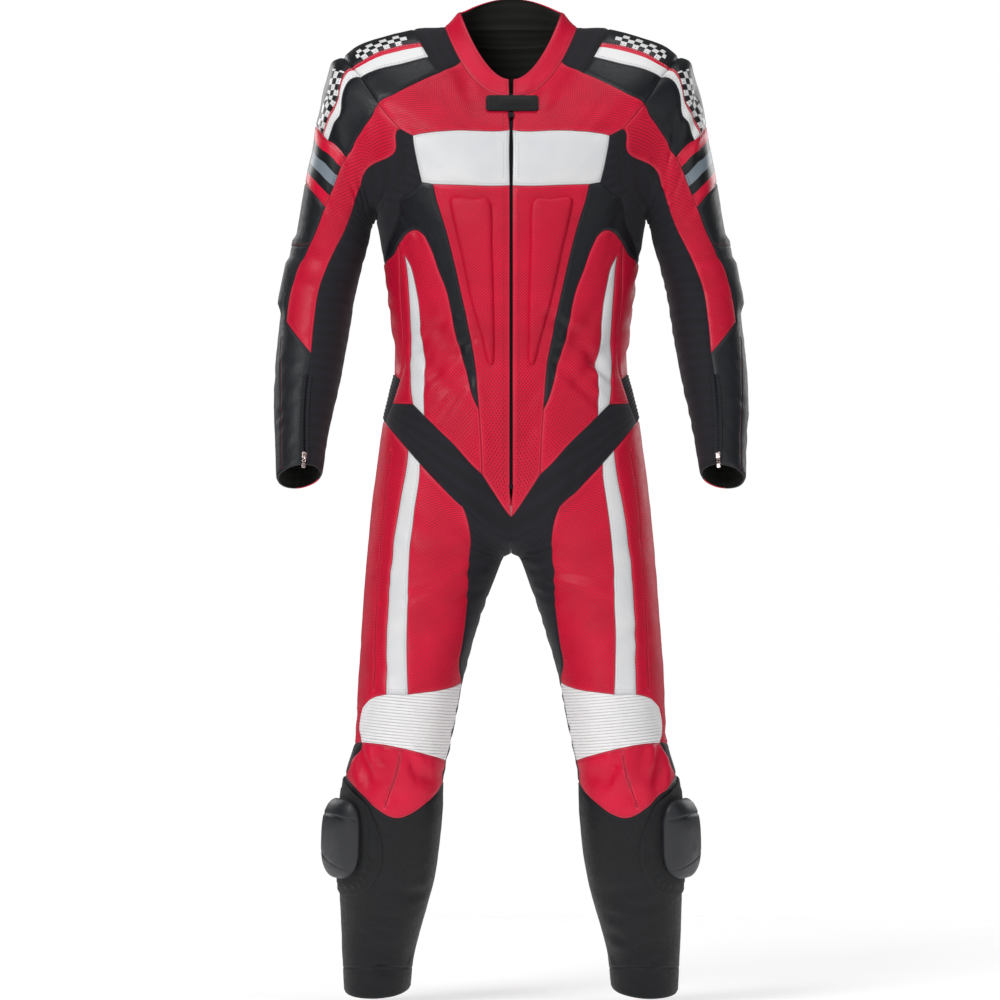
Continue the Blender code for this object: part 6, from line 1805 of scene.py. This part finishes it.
# Zips: woven tapes under the two fronts with coarse moulded teeth between them, a slider just below the neck
# tab, and short zips of the same kind at the cuffs. The cuff pulls hang below their sliders, each on a body of its
# own.
def metal(name, colour, roughness):
    """Die-cast zinc: small tumbling marks and a satin plating."""
    add, shader, made = new_material(name)
    around = add("NewGeometry")
    marks = add("TexNoise", {"Vector": around, "Scale": 900.0, "Detail": 4.0})
    tone = add("Mix", {0: marks, 6: colour[0], 7: colour[1]}, data_type="RGBA")
    gloss = add("MapRange", {0: marks, 1: 0.3, 2: 0.7, 3: roughness, 4: roughness + 0.15})
    relief = add("Bump", {"Height": marks, "Strength": 0.2, "Distance": 0.0003})
    fill(shader, {"Base Color": tone.outputs[2], "Roughness": gloss, "Normal": relief, "Metallic": 1.0})
    return made


dark_zinc = metal("blackened_zinc", ("1b1c20", "2b2c31"), 0.36)
bright_zinc = metal("nickel_plated_zinc", ("c4b2b0", "dccbc9"), 0.24)
zip_tape = woven_lining("navy_black_woven_zip_tape", ("07090f", "12151f"), 0.9)
ZIP_TOP = -52.0
ZIP_FOOT = -630.0
TOOTH_PITCH = 1.7
BLOCK = np.array([(x, y, z) for z in (-1, 1) for y in (-1, 1) for x in (-1, 1)], float)
BLOCK_FACES = [(0, 2, 3, 1), (4, 5, 7, 6), (0, 1, 5, 4), (2, 6, 7, 3), (0, 4, 6, 2), (1, 3, 7, 5)]


def frame_at(limb, places):
    """Spots on a limb, with the directions across, along and out at each."""
    spots = spots_at(limb, places)
    outs = ways_at(limb, places)
    along = np.gradient(spots, axis=0)
    along -= outs * (along * outs).sum(1)[:, None]
    along /= norm(along, axis=1, keepdims=True)
    return spots, np.cross(along, outs), along, outs


def blocks(spots, across, along, outs, half, taper=1.0):
    """Small blocks, one on each spot. The taper narrows their tops."""
    points, faces = [], []
    corner = BLOCK * half
    corner[:, :2] *= np.where(BLOCK[:, 2:] > 0, taper, 1.0)
    for spot, x, y, z in zip(spots, across, along, outs):
        first = len(points)
        points.extend(spot + c[0] * x + c[1] * y + c[2] * z for c in corner)
        turned_over = np.cross(x, y) @ z < 0
        faces.extend(tuple(first + k for k in (f[::-1] if turned_over else f)) for f in BLOCK_FACES)
    return np.array(points), faces


def evenly(spots_and_ways, pitch):
    """The same line with spots a pitch apart."""
    spots = spots_and_ways[0]
    length = run_length(spots)
    wanted = np.arange(pitch / 2, length[-1], pitch)
    return [at_lengths(wanted, length, part) for part in spots_and_ways]


def ribbon(name, line, half_width, low, high, materials):
    """A flat woven tape along a line."""
    spots, across, along, outs = line
    profile = np.array([(-half_width, low), (-half_width, high), (half_width, high), (half_width, low)])
    points = np.concatenate([s + profile[:, :1] * a + profile[:, 1:] * o for s, a, o in zip(spots, across, outs)])
    faces = ring_quads(len(spots) - 1, 4)
    last = 4 * (len(spots) - 1)
    faces += [(3, 2, 1, 0), (last, last + 1, last + 2, last + 3)]
    a, b, c, d = (points[k] for k in faces[0])
    if np.cross(b - a, d - a) @ across[0] > 0:
        faces = [f[::-1] for f in faces]
    length = run_length(spots)
    maps = np.concatenate([np.stack([[0, 1, 2 * half_width, 2 * half_width + 1], [s] * 4], 1) for s in length])
    made = mesh_object(name, points, faces, materials, maps, sharp=30)
    belongs(made, "suit", "black_stretch")


def pebble(middle, axes, half, square=0.35, rows=9, columns=20):
    """A rounded block: a cube with soft edges, along three axes."""
    tilt, turn = np.meshgrid(np.linspace(-math.pi / 2, math.pi / 2, rows + 1),
                             np.arange(columns) * 2 * math.pi / columns, indexing="ij")
    raw = np.stack([np.cos(tilt) * np.cos(turn), np.cos(tilt) * np.sin(turn), np.sin(tilt)], -1).reshape(-1, 3)
    points = middle + np.copysign(np.abs(raw) ** square, raw) * half @ np.array(axes)
    faces = ring_quads(rows, columns)
    faces += [tuple(range(columns))[::-1], tuple(rows * columns + k for k in range(columns))]
    if np.cross(axes[0], axes[1]) @ axes[2] < 0:
        faces = [f[::-1] for f in faces]
    return points, faces


def hoop(middle, axes, half_wide, half_long, wire, count=28, sides=8):
    """A closed wire loop lying in the plane of the first two axes."""
    points = []
    for k in range(count):
        turn = 2 * math.pi * k / count
        x, y = (math.copysign(abs(t) ** 0.6, t) for t in (math.cos(turn), math.sin(turn)))
        out = axes[0] * math.cos(turn) + axes[1] * math.sin(turn)
        spot = middle + axes[0] * x * half_wide + axes[1] * y * half_long
        for s in range(sides):
            roll = 2 * math.pi * s / sides
            points.append(spot + (out * math.cos(roll) + axes[2] * math.sin(roll)) * wire)
    faces = [tuple(k % (count * sides) for k in f[::-1]) for f in ring_quads(count, sides)]
    if np.cross(axes[0], axes[1]) @ axes[2] < 0:
        faces = [f[::-1] for f in faces]
    return np.array(points), faces


def joined(name, parts, materials, body, slot_name, node_name=None):
    """One object from several closed forms."""
    points, faces, total = [], [], 0
    for some_points, some_faces in parts:
        points.append(some_points)
        faces.extend(tuple(total + k for k in f) for f in some_faces)
        total += len(some_points)
    made = mesh_object(name, np.concatenate(points), faces, materials, sharp=40)
    belongs(made, body, slot_name, node_name)


zip_rows = np.linspace(level("torso", 0, ZIP_TOP)[0], level("torso", 0, ZIP_FOOT)[0], 240)
zip_line_at = frame_at("torso", np.stack([zip_rows, 0 * zip_rows], 1))
sunk = zip_line_at[0] + zip_line_at[3] * fold_depth("torso", zip_line_at[0])[:, None]
zip_line_at = [sunk, *zip_line_at[1:]]
ribbon("front_zip_tape", zip_line_at, 9.0, -4.4, -3.4, [zip_tape])
spots, across, along, outs = evenly(zip_line_at, TOOTH_PITCH)
side_step = np.where(np.arange(len(spots)) % 2 == 0, 0.7, -0.7)[:, None]
teeth = blocks(spots + across * side_step - outs * 2.4, across, along, outs, (1.7, 0.62, 1.1), 0.8)
foot_stop = pebble(spots[-1] - outs[-1] * 2.0, (across[-1], along[-1], outs[-1]), (3.0, 3.0, 1.8))
joined("front_zip_teeth", [teeth, foot_stop], [dark_zinc], "suit", "zip_metal", "front_zip")
at = int(np.abs(spots[:, 2] + 87.5).argmin())
axes = (across[at], along[at], outs[at])
slider = pebble(spots[at] + outs[at] * 1.3, axes, (4.2, 5.2, 1.3), 0.45)
bridge = hoop(spots[at] + outs[at] * 2.6 + along[at] * 1.5, (along[at], outs[at], across[at]), 3.2, 1.4, 0.6)
joined("front_zip_slider", [slider, bridge], [dark_zinc], "suit", "zip_metal", "front_pull")

SLIDER_HALF = (3.5, 5.5)
PULL_LENGTH = 13.0
PULL_AXIS_LEVEL = 2.8
PULL_GAP = 1.1
cuff_line = run("sleeve", SEAMS["sleeve", "zip_line"], 2.0)
spots_down = spots_at("sleeve", cuff_line)
cuff_line = cuff_line[(spots_down[:, 2] < -464) & (spots_down[:, 2] > -590)]
slider_place = place("sleeve", 301, -583)
for ending, side in SIDES:
    mirror = np.array([side, 1, 1])
    spots, across, along, outs = (part * mirror for part in frame_at("sleeve", cuff_line))
    lifted = spots + outs * 0.9
    ribbon("cuff_zip_tape" + ending, (lifted, across, along, outs), 6.2, 0.0, 0.9, [zip_tape])
    spots, across, along, outs = evenly((lifted, across, along, outs), 1.5)
    offset = np.where(np.arange(len(spots)) % 2 == 0, 0.5, -0.5)[:, None]
    teeth = blocks(spots + across * offset + outs * 1.3, across, along, outs, (1.2, 0.55, 0.55), 0.8)
    joined("cuff_zip_teeth" + ending, [teeth], [dark_zinc], "suit", "zip_metal")
    middle = LIMBS["sleeve"](*slider_place) * mirror
    out = direction_out("sleeve", *slider_place) * mirror
    down = LIMBS["sleeve"](slider_place[0] + 0.1, slider_place[1]) * mirror - middle
    down -= out * (down @ out)
    down /= norm(down)
    over = np.cross(down, out)
    body = pebble(middle + out * 2.4, (over, down, out), (3.6, 5.0, 1.4), 0.42)
    wings = pebble(middle + out * 2.4 - down * 3.0, (over, down, out), (4.2, 2.2, 1.2), 0.5)
    hinge = middle + down * (SLIDER_HALF[1] + PULL_GAP) + out * PULL_AXIS_LEVEL
    bridge = hoop(middle + out * 3.0 + down * 3.2, (down, out, over), 3.4, 1.3, 0.6)
    joined("cuff_zip_slider" + ending, [body, wings, bridge], [bright_zinc], "suit", "zip_metal",
           "cuff_slider" + ending)
    eye = hoop(hinge + down * 1.6, (over, down, out), 2.2, 1.9, 0.65)
    tab = pebble(hinge + down * (PULL_LENGTH * 0.5 + 2.6), (over, down, out), (2.9, PULL_LENGTH * 0.5 - 2.8, 0.8),
                 0.4)
    joined("cuff_zip_pull" + ending, [eye, tab], [bright_zinc], "cuff_pull" + ending, "zip_metal",
           "cuff_pull" + ending)


# Top-stitching: bonded polyester thread, 3 mm stitches that lie in the leather beside each seam, and beside
# the seams and hems drawn across single panels.
STITCH_PITCH = 4.3
STITCH_HALF = (0.42, 1.55, 0.34)
STITCH_IN = 3.4
THREADS = {"red": "8f1224", "white": "cfcfd2", "black": "26282d"}


def thread_material(name, colour):
    """Bonded thread: its twist shows as fine darker bands."""
    add, shader, made = new_material(name)
    around = add("NewGeometry")
    twist = add("TexWave", {"Vector": around, "Scale": 500.0, "Distortion": 1.0})
    darker = add("MapRange", {0: twist.outputs["Fac"], 2: 1.0, 3: 0.75, 4: 1.0})
    shade = add("Mix", {0: 1.0, 6: colour, 7: darker}, data_type="RGBA", blend_type="MULTIPLY")
    fill(shader, {"Base Color": shade.outputs[2], "Roughness": 0.6})
    return made


def rim_loops(edges):
    """The rim's points in order, one list for each closed loop."""
    after = dict(edges)
    loops = []
    while after:
        start = next(iter(after))
        found, here = [start], after.pop(start)
        while here != start and here in after:
            found.append(here)
            here = after.pop(here)
        loops.append(found)
    return loops


def stitches_along(path, surface, inward, closed):
    """Stitches beside a line, on a surface: where each lies, and its three directions."""
    ends = np.concatenate([path, path[:1]]) if closed else path
    length = run_length(ends)
    wanted = np.arange(STITCH_PITCH / 2, length[-1], STITCH_PITCH)
    spots = at_lengths(wanted, length, ends)
    ahead = at_lengths(np.minimum(wanted + 2.5, length[-1]), length, ends)
    behind = at_lengths(np.maximum(wanted - 2.5, 0), length, ends)
    line = tree_of(divided(ends[:-1], ends[1:], 1.0))
    found = []
    for spot, way in zip(spots, ahead - behind):
        way = way / max(norm(way), 1e-6)
        normal = surface.find_nearest(spot)[1]
        beside = spot + np.cross(np.array(normal), way) * inward
        location, normal = surface.find_nearest(beside)[:2]
        if inward and line.find(location)[2] < 0.8 * abs(inward):
            continue
        if (location - Vector(beside)).length > 2.5:
            continue
        normal = np.array(normal)
        way = way - normal * (way @ normal)
        way /= max(norm(way), 1e-6)
        found.append((np.array(location) + normal * 0.05, np.cross(way, normal), way, normal))
    return found


ALL_STITCHES = {"red": [], "white": [], "black": []}
TREES = {name: BVHTree.FromPolygons([Vector(p) for p in outer], [tuple(int(k) for k in f) for f in faces])
         for name, (outer, faces, side) in SURFACES.items()}


def add_stitches(node_name, path, inward, closed, colour):
    """Keeps the stitches beside one line of a panel."""
    found = stitches_along(path, TREES[node_name], inward, closed)
    ALL_STITCHES[colour].append((SURFACES[node_name][2], found))


for node_name, rim, colour in STITCHED:
    for found in rim_loops(rim):
        add_stitches(node_name, SURFACES[node_name][0][found], STITCH_IN, True, colour)
ACROSS_PANELS = [(name, limb, run(limb, line, 4.0), offsets, colour) for name, limb, line, offsets, colour in (
    ("thigh_stripe", "leg", cross_seam, (-2.4,), "white"), ("thigh_side", "leg", side_line, (-2.8, 2.8), "red"),
    ("shin", "leg", shin_line, (-2.4, 2.4), "black"), ("lower_leg", "leg", hem_line, (0.0,), "black"),
    ("sleeve_outer", "sleeve", forearm_line, (0.0,), "red"), ("sleeve_outer", "sleeve", elbow_line, (2.4,), "red"),
)]
ACROSS_PANELS += [(name, "torso", on_torso([(11.0, z) for z in range(top, foot, -6)]), (0.0,), colour)
                  for name, colour, top, foot in (("yoke_front", "red", -62, -120),
                                                  ("chest_band", "white", -126, -186),
                                                  ("centre_front", "red", -192, -625))]
for node_name, limb, line, offsets, colour in ACROSS_PANELS:
    path = spots_at(limb, line)
    for ending, side in SIDES:
        for offset in offsets:
            add_stitches(node_name + ending, path, offset, False, colour)
for colour, code in THREADS.items():
    parts = []
    for side, found in ALL_STITCHES[colour]:
        if found:
            spots, across, along, outs = (np.array(part) * [side, 1, 1] for part in zip(*found))
            parts.append(blocks(spots, across, along, outs, STITCH_HALF, 0.6))
    joined("top_stitching_" + colour, parts, [thread_material(colour + "_bonded_thread", code)], "suit",
           colour + "_leather")
